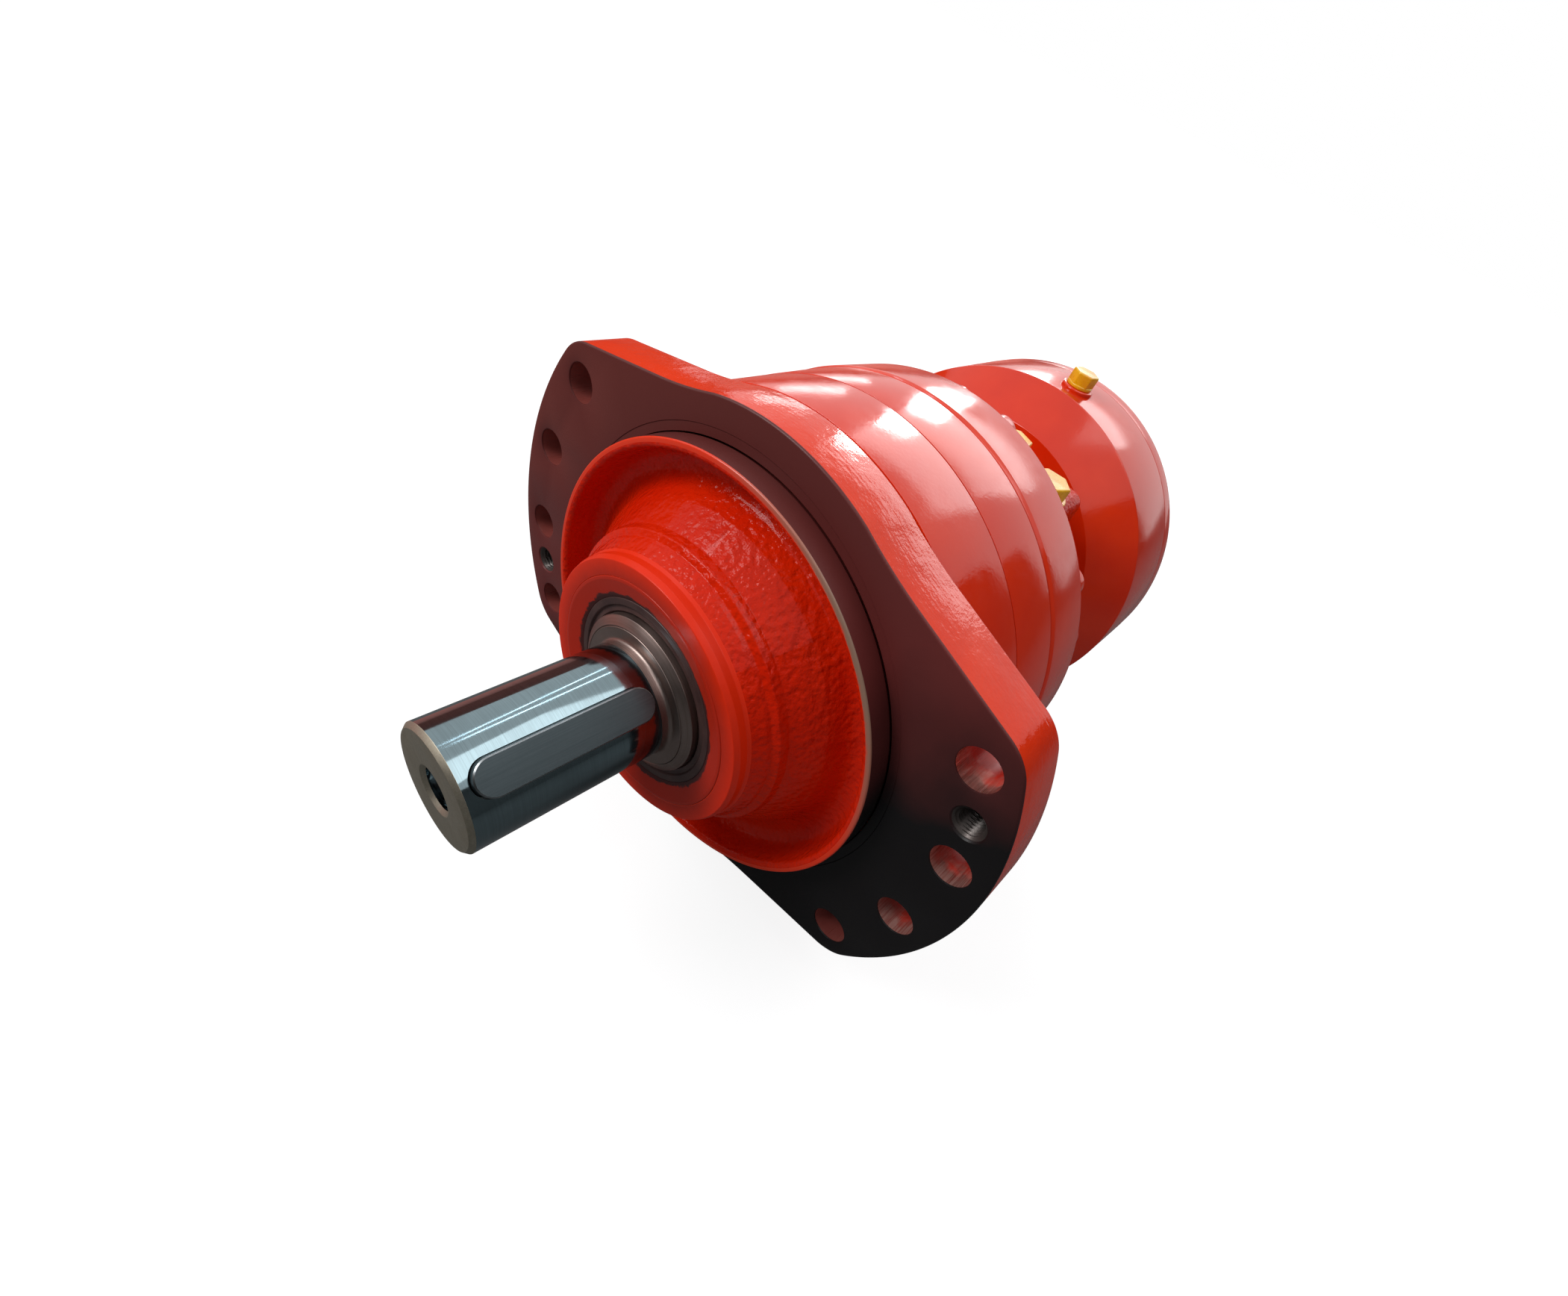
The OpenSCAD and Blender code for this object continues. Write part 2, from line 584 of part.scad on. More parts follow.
// One piston, drawn at its own angle, with the cradle that holds its roller
module piston(i) {
    color("lightsteelblue") rotate([(i - 1) * 360 / piston_count, 0, 0]) difference() {
        translate([block_mid, crown_r - piston_len, 0]) rotate([-90, 0, 0]) difference() {
            cylinder(r = piston_r, h = piston_len);
            translate([0, 0, -cut]) cylinder(r = piston_r - 5.5, h = skirt_depth + cut);
            translate([0, 0, 4]) difference() {
                cylinder(r = piston_r + cut, h = 2.4);
                translate([0, 0, -cut]) cylinder(r = piston_r - 1.6, h = 2.4 + 2 * cut);
            }
        }
        translate([block_mid - piston_r - cut, roller_rest_r, 0]) rotate([0, 90, 0])
            cylinder(r = roller_r + run_gap, h = piston_d + 2 * cut);
    }
}

module roller(i) {
    color("gainsboro") rotate([(i - 1) * 360 / piston_count, 0, 0])
        translate([block_mid - roller_len / 2, roller_rest_r, 0]) rotate([0, 90, 0]) union() {
            cylinder(r = roller_r - 0.5, h = roller_len, $fn = 64);
            translate([0, 0, 0.5]) cylinder(r = roller_r, h = roller_len - 1, $fn = 64);
        }
}

module piston_1() { piston(1); }
module piston_2() { piston(2); }
module piston_3() { piston(3); }
module piston_4() { piston(4); }
module piston_5() { piston(5); }
module piston_6() { piston(6); }
module piston_7() { piston(7); }
module piston_8() { piston(8); }
module roller_1() { roller(1); }
module roller_2() { roller(2); }
module roller_3() { roller(3); }
module roller_4() { roller(4); }
module roller_5() { roller(5); }
module roller_6() { roller(6); }
module roller_7() { roller(7); }
module roller_8() { roller(8); }

// Face seals between the casting, the cam ring and the valve cover
o_ring_r = cam_min_r + stroke + 3;
o_ring_t = 1.25;

module body_o_rings() {
    color("black") along_shaft() for (x = [cam_front + o_ring_t, cam_rear - o_ring_t]) translate([0, 0, x])
        rotate_extrude($fn = 96) translate([o_ring_r, 0]) circle(r = o_ring_t, $fn = 24);
}

// Stationary plate that times the oil to the block, with a stepped outside for its three seals
valve_front = block_rear - disc_gap;
step_r = [60, 57, 54];
step_x = [valve_front, valve_front - 10, valve_front - 19, valve_front - 28];
valve_holes = 2 * lobes;
valve_bore_r = spline_r + 1.5;

module distributor() {
    color("darkkhaki") difference() {
        turned([[valve_bore_r, step_x[3]], [step_r[2], step_x[3]], [step_r[2], step_x[2]], [step_r[1], step_x[2]],
            [step_r[1], step_x[1]], [step_r[0], step_x[1]], [step_r[0], step_x[0]], [valve_bore_r, step_x[0]]]);
        for (k = [0:2]) seal_ring(k, 0.02, cut);
        for (i = [0:valve_holes - 1]) let (a = (i + 0.5) * 360 / valve_holes - lobe_phase, x = step_x[1 + i % 2] - 2.5) {
            axial(a, duct_r, 3.4, x, valve_front + cut, 24);
            at(a, duct_r) translate([x, 0, 0]) rotate([-90, 0, 0]) cylinder(r = 2.4, h = step_r[0] - duct_r + cut, $fn = 24);
        }
    }
}

module seal_ring(k, extra, over) {
    mid = step_x[k] - 6.6;
    tube(step_r[k] - 2.6 - extra, step_r[k] + over, mid - 1.3 - extra, mid + 1.3 + extra);
}

module distributor_seals() {
    color([0.15, 0.15, 0.16]) for (k = [0:2]) seal_ring(k, 0, run_gap);
}

// Wave spring that presses the distributor on the block
spring_waves = 4;
spring_back = step_x[3] - 4;

module distributor_spring() {
    n = 64;
    rows = [for (i = [0:n - 1]) let (a = i * 360 / n, z = spring_back + 2 + 1.35 * cos(spring_waves * a))
        [for (p = [[44, -0.5], [51, -0.5], [51, 0.5], [44, 0.5]]) [p.x * cos(a), p.x * sin(a), z + p.y]]];
    color("gray") along_shaft() polyhedron(points = [for (r = rows) for (p = r) p],
        faces = [for (i = [0:n - 1], k = [0:3]) let (j = (i + 1) % n, m = (k + 1) % 4)
            [4 * i + k, 4 * i + m, 4 * j + m, 4 * j + k]]);
}

// Valve cover: round wall, rear face with the housing screws, neck and port pad
pad_left = port_b_side - 20;
pad_right = port_a_side + 14;
pad_rear = -port_b_back - 11;
pad_chamfer = 8;
shaft_tunnel_r = brake_shaft_r + 3;
cover_edge = 3;

module valve_cover() {
    color([0.84, 0.13, 0.07]) difference() {
        union() {
            turned(concat([[0, cover_rear]], arc(cover_rear_r - cover_edge, cover_rear + cover_edge, cover_edge, -90, -8, 5),
                [[body_r + 0.7, cam_rear - 4], [body_r + 0.7, cam_rear - 1.4], [body_r - 0.7, cam_rear], [0, cam_rear]]));
            rod(neck_r, neck_rear, cover_rear + cut, 144);
            rotate([90, 0, 90]) translate([0, 0, pad_rear]) linear_extrude(cover_rear - pad_rear + cut)
                polygon([[pad_left, 0], [pad_right, 0], [pad_right, pad_h - pad_chamfer], [pad_right - pad_chamfer, pad_h],
                    [pad_left + pad_chamfer, pad_h], [pad_left, pad_h - pad_chamfer]]);
        }
        rod(block_r + 3, block_rear - 2, cam_rear + cut, 144);
        rod(step_r[0] + run_gap, step_x[1] - 0.2, cam_rear, 144);
        rod(step_r[1] + run_gap, step_x[2] - 0.2, cam_rear, 144);
        rod(step_r[2] + run_gap, spring_back, cam_rear, 144);
        rod(shaft_tunnel_r, neck_rear - cut, cam_rear, 96);
        tube(step_r[1] - 1, step_r[1] + 5, step_x[1] - 4.4, step_x[1] - 0.6);
        tube(step_r[2] - 1, step_r[2] + 5, step_x[2] - 4.4, step_x[2] - 0.6);
        turned([[o_ring_r - 1.8, cam_rear + cut], [o_ring_r + 1.8, cam_rear + cut], [o_ring_r + 1.8, cam_rear - 2.6],
            [o_ring_r - 1.8, cam_rear - 2.6]]);
        for (a = screw_angles()) axial(a, screw_circle_r, screw_d / 2 + 0.5, cover_rear - cut, cam_rear + cut);
        for (k = [0, 1]) let (p = ports()[k], floor_z = gallery_z(k) - duct_d / 2 - 2) {
            translate([-p.x, p.y, floor_z]) cylinder(r = port_core_d / 2, h = pad_h - floor_z + cut, $fn = 48);
            translate([-p.x, p.y, pad_h - 1]) cylinder(r = plug_af / 2 + 3, h = 1 + cut, $fn = 64);
            translate([0, p.y, gallery_z(k)]) rod(duct_d / 2, -p.x, step_x[k + 1] - 2, 32);
        }
        for (a = [0:60:300]) axial(a, neck_screw_r, neck_screw_d / 2 + seat_gap, neck_rear - cut,
            neck_rear + neck_tip_depth + 2);
    }
}

function ports() = [[port_a_back, port_a_side], [port_b_back, port_b_side]];

// Height at which the duct from a port meets its ring-shaped gallery round the distributor
function gallery_z(k) = sqrt(pow(step_r[k + 1] + 2, 2) - pow(ports()[k].y, 2));

module socket_screw(r, head_r, head_h, head_x, tip_x) {
    dir = tip_x > head_x ? 1 : -1;
    difference() {
        union() {
            rod(r, head_x, tip_x, 32);
            rod(head_r, head_x - dir * head_h, head_x, 48);
        }
        rod(r * 0.9, head_x - dir * (head_h + cut), head_x - dir * head_h * 0.45, 6);
    }
}

module housing_screws() {
    color([0.8, 0.12, 0.07]) for (a = screw_angles()) at(a, screw_circle_r)
        socket_screw(screw_d / 2, screw_d * 0.75, screw_d, cover_rear, cam_front + 24);
}

module hex_plug(stem_r, stem_len, flange_r, af, head_h) {
    translate([0, 0, -stem_len]) cylinder(r = stem_r, h = stem_len + 0.5, $fn = 48);
    cylinder(r = flange_r, h = 2, $fn = 48);
    difference() {
        translate([0, 0, 2]) cylinder(r = af / sqrt(3), h = head_h - 2, $fn = 6);
        translate([0, 0, head_h - 3]) cylinder(r = af * 0.28, h = 3 + cut, $fn = 32);
    }
}

module port_plug(p) {
    color([0.95, 0.72, 0.1]) translate([-p.x, p.y, pad_h - 1])
        hex_plug(port_core_d / 2 - seat_gap, 12, plug_af / 2 + 1.4, plug_af - 3, 9);
}

module port_plug_a() {
    port_plug(ports()[0]);
}

module port_plug_b() {
    port_plug(ports()[1]);
}

// Brake housing: neck, flare and drum, bored for the discs and the stepped piston
neck_screw_r = neck_r - 15;
seal_seat_r = brake_shaft_r + 10;
lip_seal_w = 9;
flare_start = neck_rear - 14;
flare_mid = drum_front + 21;
cone_foot_r = (neck_r + drum_r - 7) / 2;
boss_r = brake_core_d / 2 + 5;
boss_h = 2;
neck_screw_d = 10;
neck_tip_depth = 18;      // how far the neck screws reach into the valve cover
neck_floor_t = 20;        // floor of the neck, which the screws clamp
cover_screw_d = 6;
cover_head_r = 5;
cover_tip_depth = 14;     // how far the cover's screws reach into the drum
cover_sink = cover_screw_d + 0.4;

module brake_housing() {
    color([0.82, 0.13, 0.08]) difference() {
        union() {
            turned(concat([[0, neck_rear], [neck_r, neck_rear]],
                arc(neck_r + 8, flare_mid + 8, 8, 180, 270, 6),
                [[cone_foot_r, flare_mid], [drum_r - 1, drum_front + 1], [drum_r, drum_front - 1], [drum_r, drum_rear + 0.5],
                [drum_r - 0.5, drum_rear], [0, drum_rear]]));
            translate([brake_port_x, 0, 0]) cylinder(r = boss_r, h = drum_r + boss_h, $fn = 64);
        }
        rod(shaft_tunnel_r, pack_front - cut, neck_rear + cut, 96);
        rod(seal_seat_r + seat_gap, neck_rear - lip_seal_w, neck_rear + cut, 96);
        rod(neck_r - 6, pack_front - cut, neck_rear - neck_floor_t, 96);
        rod(disc_r + 0.5, pack_rear - cut, pack_front, 144);
        intersection() {
            rod(lug_r + 0.3, pack_rear - cut, pack_front, 144);
            union() for (i = [0:lug_count / 2 - 1]) rotate([i * 360 / lug_count, 0, 0])
                translate([(pack_front + pack_rear) / 2, 0, 0]) cube([pack_len + 2 * cut, 3 * drum_r, lug_w + 0.4], center = true);
        }
        rod(small_piston_r + run_gap, piston_step, pack_rear, 144);
        rod(large_piston_r + run_gap, drum_rear - cut, piston_step, 144);
        translate([brake_port_x, 0, large_piston_r - 6]) cylinder(r = brake_core_d / 2, h = drum_r, $fn = 32);
        for (a = [0:60:300]) axial(a, neck_screw_r, neck_screw_d / 2 + free_gap, neck_rear - neck_floor_t - cut,
            neck_rear + cut);
        for (a = cover_screw_angles()) axial(a, cover_screw_r, cover_screw_d / 2 + seat_gap, drum_rear - cut,
            drum_rear + cover_tip_depth + 2, 24);
    }
}

function cover_screw_angles() = [for (i = [0:lug_count - 1]) (i + 0.5) * 360 / lug_count];

module brake_housing_screws() {
    color("dimgray") for (a = [0:60:300]) at(a, neck_screw_r)
        socket_screw(neck_screw_d / 2, neck_screw_d * 0.8, neck_screw_d, neck_rear - neck_floor_t,
            neck_rear + neck_tip_depth);
}

module brake_shaft_seal() {
    front = neck_rear - 0.2;
    rear = neck_rear - lip_seal_w + 0.2;
    lip_x = (front + rear) / 2 - 1;
    color([0.15, 0.1, 0.1]) turned([[seal_seat_r, rear], [seal_seat_r, front], [seal_seat_r - 2, front],
        [seal_seat_r - 2, lip_x + 0.5], [brake_shaft_r + 2, lip_x + 1.5], [brake_shaft_r + run_gap, lip_x],
        [brake_shaft_r + 2, lip_x - 1.5], [brake_shaft_r + 4, rear]]);
}

module brake_port_plug() {
    color([0.86, 0.66, 0.1]) translate([brake_port_x, 0, drum_r + boss_h])
        hex_plug(brake_core_d / 2 - seat_gap, 8, brake_core_d / 2 + 3.2, brake_core_d + 4.5, 8.5);
}

// Shaft that links the block to the brake, with a toothed hub for the turning discs
module brake_shaft() {
    hub_teeth = 20;
    color([0.6, 0.62, 0.63]) {
        rod(brake_shaft_r, pack_front + 4, block_rear - 1, 96);
        spline_bar(spline_r - 2.5, spline_r, 16, 1, block_rear - 1, block_mid - 3);
        spline_bar(hub_spline_r - 4, hub_spline_r, hub_teeth, 1, pack_rear - 2, pack_front + 4);
    }
}

module disc_place(k) {
    translate([pack_front - (k + 1) * disc_pitch + disc_gap / 2, 0, 0]) children();
}

module brake_fixed_discs() {
    color("silver") for (k = [0:2:2 * rotor_count]) disc_place(k) difference() {
        union() {
            rod(disc_r, 0, disc_t, 144);
            intersection() {
                rod(lug_r, 0, disc_t, 144);
                union() for (i = [0:lug_count / 2 - 1]) rotate([i * 360 / lug_count, 0, 0])
                    translate([disc_t / 2, 0, 0]) cube([disc_t, 3 * drum_r, lug_w], center = true);
            }
        }
        rod(hub_spline_r + 6, -cut, disc_t + cut, 96);
    }
}

module brake_turning_discs() {
    hub_teeth = 20;
    color("sienna") for (k = [1:2:2 * rotor_count - 1]) disc_place(k) difference() {
        rod(disc_r - 2, 0, disc_t, 144);
        spline_bar(hub_spline_r - 4 + spline_gap, hub_spline_r + spline_gap, hub_teeth, 1.12, -cut, disc_t + cut);
    }
}

// Ring piston: the spring pushes it onto the discs, oil at its step draws it back
nose_in_r = hub_spline_r + 14;
ring_seal_w = 2.4;

module brake_piston() {
    rear = piston_step - brake_travel / 4 - brake_piston_t;
    color("lightsteelblue") difference() {
        turned([[nose_in_r, pack_rear - 0.1], [small_piston_r - 6, pack_rear - 0.1], [small_piston_r, pack_rear - 1.1],
            [small_piston_r, piston_step - brake_travel / 4], [large_piston_r, piston_step - brake_travel / 4],
            [large_piston_r, rear], [nose_in_r, rear]]);
        for (k = [0, 1]) piston_seal(k, 0.02, cut);
    }
}

module piston_seal(k, extra, over) {
    r = [small_piston_r, large_piston_r][k];
    x = [pack_rear - 4.6, piston_step - brake_travel / 4 - 5][k];
    tube(r - ring_seal_w - extra, r + over, x - ring_seal_w / 2 - extra, x + ring_seal_w / 2 + extra);
}

module brake_piston_seals() {
    color([0.15, 0.15, 0.16]) for (k = [0, 1]) piston_seal(k, 0, run_gap - 0.02);
}

// Coned disc spring between the piston and the rear cover
module brake_spring() {
    front = piston_step - brake_travel / 4 - brake_piston_t - 0.05;
    rear = front - spring_h;
    t = 2.4;
    in_r = nose_in_r + 3;
    out_r = large_piston_r - 3;
    color("dimgray") turned([[in_r, rear], [in_r + 1.5, rear], [out_r, front - t], [out_r, front], [out_r - 1.5, front],
        [in_r, rear + t]]);
}

module brake_cover() {
    color([0.82, 0.13, 0.08]) difference() {
        turned(concat([[0, drum_rear + 3], [hub_spline_r + 10, drum_rear + 3], [hub_spline_r + 10, spigot_x],
            [large_piston_r - 0.1, spigot_x], [large_piston_r - 0.1, drum_rear],
            [drum_r - 0.5, drum_rear], [drum_r - 0.2, drum_rear - 0.8]],
            arc(drum_r - 3.2, motor_rear + 3, 3, 0, -90, 5), [[hub_spline_r, motor_rear], [hub_spline_r - 2, motor_rear + 2],
            [0, motor_rear + 2]]));
        for (a = cover_screw_angles()) {
            axial(a, cover_screw_r, cover_screw_d / 2 + 0.3, motor_rear - cut, drum_rear + cut, 24);
            axial(a, cover_screw_r, cover_head_r + 0.6, motor_rear - cut, motor_rear + cover_sink, 32);
        }
    }
}

module brake_cover_screws() {
    color("dimgray") for (a = cover_screw_angles()) at(a, cover_screw_r)
        socket_screw(cover_screw_d / 2, cover_head_r, cover_screw_d, motor_rear + cover_sink, drum_rear + cover_tip_depth);
}

bearing_support();
seal_carrier();
shaft_seal();
front_bearing_cup();
rear_bearing_cup();
cam_ring();
body_o_rings();
valve_cover();
distributor();
distributor_seals();
distributor_spring();
housing_screws();
brake_housing();
brake_shaft_seal();
brake_housing_screws();
brake_fixed_discs();
brake_cover();
brake_cover_screws();
port_plug_a();
port_plug_b();
brake_port_plug();
drive_shaft();
shaft_key();
seal_sleeve();
front_bearing_cone();
rear_bearing_cone();
bearing_nut();
cylinder_block();
brake_shaft();
brake_turning_discs();
front_roller_cage();
front_rollers();
rear_roller_cage();
rear_rollers();
brake_piston();
brake_piston_seals();
brake_spring();
piston_1();
piston_2();
piston_3();
piston_4();
piston_5();
piston_6();
piston_7();
piston_8();
roller_1();
roller_2();
roller_3();
roller_4();
roller_5();
roller_6();
roller_7();
roller_8();
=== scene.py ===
"""Looks of the hydraulic piston motor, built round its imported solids.

Metres, in the solids' frame: +X along the shaft towards its free end, +Y along the flange's long axis and
+Z up. Sizes in the code are millimetres and are turned to metres where a mesh is made.
"""
import json
import math

import bmesh
import bpy
from mathutils import Matrix, Vector


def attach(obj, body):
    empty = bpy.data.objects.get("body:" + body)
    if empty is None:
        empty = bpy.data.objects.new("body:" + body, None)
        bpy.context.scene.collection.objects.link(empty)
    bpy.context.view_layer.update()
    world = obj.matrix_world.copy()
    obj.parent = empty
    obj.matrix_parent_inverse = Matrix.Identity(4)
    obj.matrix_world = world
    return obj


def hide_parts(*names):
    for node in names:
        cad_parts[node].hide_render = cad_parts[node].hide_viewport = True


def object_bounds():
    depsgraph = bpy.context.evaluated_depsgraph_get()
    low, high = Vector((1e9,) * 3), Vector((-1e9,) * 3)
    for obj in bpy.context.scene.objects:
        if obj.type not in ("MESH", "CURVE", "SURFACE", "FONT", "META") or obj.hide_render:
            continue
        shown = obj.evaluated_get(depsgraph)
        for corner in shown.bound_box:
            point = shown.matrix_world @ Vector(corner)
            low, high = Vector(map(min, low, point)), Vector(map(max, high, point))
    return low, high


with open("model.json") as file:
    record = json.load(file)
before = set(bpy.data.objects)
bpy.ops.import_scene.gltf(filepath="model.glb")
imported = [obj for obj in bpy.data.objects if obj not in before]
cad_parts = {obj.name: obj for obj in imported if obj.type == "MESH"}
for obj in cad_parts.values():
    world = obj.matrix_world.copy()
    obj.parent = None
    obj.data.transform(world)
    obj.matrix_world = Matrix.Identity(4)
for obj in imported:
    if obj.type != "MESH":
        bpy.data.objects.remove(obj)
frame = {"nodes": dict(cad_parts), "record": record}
cad_low, cad_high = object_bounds()
MM = 0.001
PER_MM = 1 / MM

# Flange, in millimetres as in the solids. Its front face is at X 0
FLANGE_T = 26.0
FLANGE_R = 151.0
FLANGE_SIDE = 113.5
FLANGE_LEAN = 15.0
CORNER_R = 22.0
WAIST_BLEND = 16.0
HOLE_CIRCLE = 135.0
HOLE_D = 17.5
HOLE_ANGLES = (-30, -10, 10, 30, 150, 170, 190, 210)
SPOT_R = 13.0
SPOT_DEPTH = 0.5
SCRIBE_R = 104.6
JACK_ANGLES = (20, 200)
JACK_CORE_R = 5.1
JACK_MAJOR_R = 6.0
JACK_MOUTH_R = 6.9
JACK_PITCH = 1.75

# Nose: pilot, dish, neck and hub
PILOT_R = 100.0
PILOT_H = 12.0
RIM_W = 4.2
HUB_H = 39.0
HUB_R = 59.4

# Body, valve cover and its neck
BODY_R = 116.5
SUPPORT_REAR = -64.5
CAM_REAR = -96.5
SEAM = 0.35
COVER_REAR = -133.5
COVER_R = 115.2
NECK_REAR = -178.0
NECK_R = 72.0
SCREW_CIRCLE = 102.5
SCREW_D = 12.0
SCREW_COUNT = 24
SCREW_PHASE = 9.0
PAD_LEFT = -8.0
PAD_RIGHT = 58.0
PAD_TOP = 90.0
PAD_REAR = -176.0
PORTS = ((-150.0, 44.0), (-165.0, 12.0))

# Cam track inside the ring: the rollers' path and their radius
CAM_LOBES = 6
CAM_MID_R = 73.0
CAM_LIFT = 4.0
CAM_PHASE = math.radians(-7.5)
ROLLER_R = 10.0

# Brake drum and rear cover
DRUM_R = 107.0
DRUM_FRONT = -233.0
DRUM_REAR = -280.0
MOTOR_REAR = -292.0
BRAKE_PORT_X = -251.2
BOSS_R = 9.5
BOSS_H = 2.0
COVER_SCREW_CIRCLE = 101.0
COVER_BORE_R = 5.6
COVER_BORE_DEPTH = 6.4

# Shaft, key, sleeve and seal
SHAFT_R = 25.0
SHOULDER_R = 31.0
SHOULDER_X = 41.5
SHAFT_END = 123.0
END_THREAD_PITCH = 2.0
KEY_W = 14.0
KEY_H = 9.0
KEY_LEN = 70.0
KEY_ANGLE = 53.0
KEY_END = 118.0
KEY_CHAMFER = 0.5
KEYWAY_DEPTH = 5.5
KEY_FLOOR = SHAFT_R - KEYWAY_DEPTH
SLEEVE_R = 35.1
SEAL_R = 41.8
CARRIER_R = 51.4

# Stands a piece made along +X up along +Z
UPRIGHT = Matrix.Rotation(math.radians(-90), 4, "Y")


# Meshes

def rounded(points, steps=5):
    """A profile with its corners turned to arcs.

    A point is (radius, x) or (radius, x, fillet), and may end with the finish that starts there.
    """
    out = []
    count = len(points)
    for i, point in enumerate(points):
        p = Vector(point[:2])
        fillet = point[2] if len(point) > 2 and not isinstance(point[2], str) else 0
        tag = point[-1] if isinstance(point[-1], str) else None
        before = Vector(points[i - 1][:2]) - p
        after = Vector(points[(i + 1) % count][:2]) - p
        if not fillet or before.length < 1e-6 or after.length < 1e-6:
            out.append((p.x, p.y, tag))
            continue
        u = before.normalized()
        v = after.normalized()
        half = u.angle(v) / 2
        reach = min(fillet / math.tan(half), before.length * 0.49, after.length * 0.49)
        centre = p + (u + v).normalized() * (reach / math.cos(half))
        start = p + u * reach - centre
        end = p + v * reach - centre
        for k in range(steps + 1):
            q = centre + start.slerp(end, k / steps).normalized() * start.length
            out.append((q.x, q.y, tag))
    return out


def as_object(name, bm, finishes, smooth_angle=32):
    """A mesh object with faces outwards, smooth up to an angle in degrees."""
    bmesh.ops.remove_doubles(bm, verts=bm.verts, dist=1e-7)
    bmesh.ops.recalc_face_normals(bm, faces=bm.faces)
    mesh = bpy.data.meshes.new(name)
    bm.to_mesh(mesh)
    bm.free()
    for finish in finishes:
        mesh.materials.append(bpy.data.materials[finish])
    for face in mesh.polygons:
        face.use_smooth = True
    mesh.set_sharp_from_angle(angle=math.radians(smooth_angle))
    obj = bpy.data.objects.new(name, mesh)
    bpy.context.scene.collection.objects.link(obj)
    return obj


def spin_profile(bm, profile, finishes, sides=256, shape=None):
    """Adds a closed profile of (radius, x, finish) turned about the shaft axis.

    shape(angle, radius, x) may alter the radius.
    """
    slot = {name: i for i, name in enumerate(finishes)}
    rings = []
    tags = []
    current = 0
    for r, x, tag in profile:
        current = slot.get(tag, current)
        tags.append(current)
        if r < 1e-6:
            rings.append([bm.verts.new((x * MM, 0, 0))])
            continue
        ring = []
        for i in range(sides):
            a = 2 * math.pi * i / sides
            rr = shape(a, r, x) if shape else r
            ring.append(bm.verts.new((x * MM, rr * math.cos(a) * MM, rr * math.sin(a) * MM)))
        rings.append(ring)
    count = len(rings)
    for j in range(count):
        a, b = rings[j], rings[(j + 1) % count]
        if len(a) == 1 and len(b) == 1:
            continue
        for i in range(sides):
            k = (i + 1) % sides
            corners = [a[i % len(a)], a[k % len(a)], b[k % len(b)], b[i % len(b)]]
            face = bm.faces.new(list(dict.fromkeys(corners)))
            face.material_index = tags[j]


def turned(name, points, finishes, sides=256, steps=5, shape=None):
    bm = bmesh.new()
    spin_profile(bm, rounded(points, steps), finishes, sides, shape)
    return as_object(name, bm, finishes)


def polar(radius, angle):
    return Vector((radius * math.cos(angle), radius * math.sin(angle)))


def circle_loop(radius, cy=0.0, cz=0.0, count=48):
    return [Vector((cy, cz)) + polar(radius, 2 * math.pi * i / count) for i in range(count)]


def inset(loop, distance):
    """The loop moved to its left by a distance, which is inwards where it runs anticlockwise."""
    out = []
    for i, p in enumerate(loop):
        along = (loop[(i + 1) % len(loop)] - loop[i - 1]).normalized()
        out.append(p + Vector((-along.y, along.x)) * distance)
    return out


def plate(bm, outline, holes, place, face_finish=(0, 0)):
    """Adds a plate with shaped edges. The outline and each hole are a loop with its own steps.

    Steps are (inset, height, finish index) from the bottom face to the top face.
    """
    caps = {0: [], -1: []}
    for loop, steps, side in [(*outline, 1)] + [(*hole, -1) for hole in holes]:
        rings = [[bm.verts.new(place(p.x, p.y, h)) for p in inset(loop, d * side)] for d, h, _ in steps]
        count = len(loop)
        for j in range(len(rings) - 1):
            for i in range(count):
                k = (i + 1) % count
                face = bm.faces.new((rings[j][i], rings[j][k], rings[j + 1][k], rings[j + 1][i]))
                face.material_index = steps[j][2]
        for end in caps:
            ring = rings[end]
            caps[end] += [bm.edges.get((ring[i], ring[(i + 1) % count])) for i in range(count)]
    for finish, end in zip(face_finish, caps):
        made = bmesh.ops.triangle_fill(bm, use_beauty=True, use_dissolve=False, edges=caps[end])
        for face in made["geom"]:
            if isinstance(face, bmesh.types.BMFace):
                face.material_index = finish


def edge_arc(radius, count=4):
    """Steps of a rounded edge as (inset, rise), from the face to the wall."""
    turns = [math.pi / 2 * k / count for k in range(count + 1)]
    return [(radius * (1 - math.sin(t)), radius * (1 - math.cos(t))) for t in turns]


def across_shaft(y, z, x):
    """A point of a plate that stands square to the shaft."""
    return (x * MM, y * MM, z * MM)


def plain(obj, smooth_angle=32):
    """Applies the modifiers by taking the evaluated mesh."""
    graph = bpy.context.evaluated_depsgraph_get()
    mesh = bpy.data.meshes.new_from_object(obj.evaluated_get(graph))
    mesh.name = obj.name
    obj.modifiers.clear()
    obj.data = mesh
    for face in mesh.polygons:
        face.use_smooth = True
    mesh.set_sharp_from_angle(angle=math.radians(smooth_angle))


def subtract(target, cutter):
    """Cuts one closed mesh out of another and leaves a plain mesh."""
    mod = target.modifiers.new("cut", "BOOLEAN")
    mod.operation = "DIFFERENCE"
    mod.solver = "EXACT"
    mod.object = cutter
    mod.material_mode = "INDEX"
    plain(target)
    bpy.data.objects.remove(cutter)


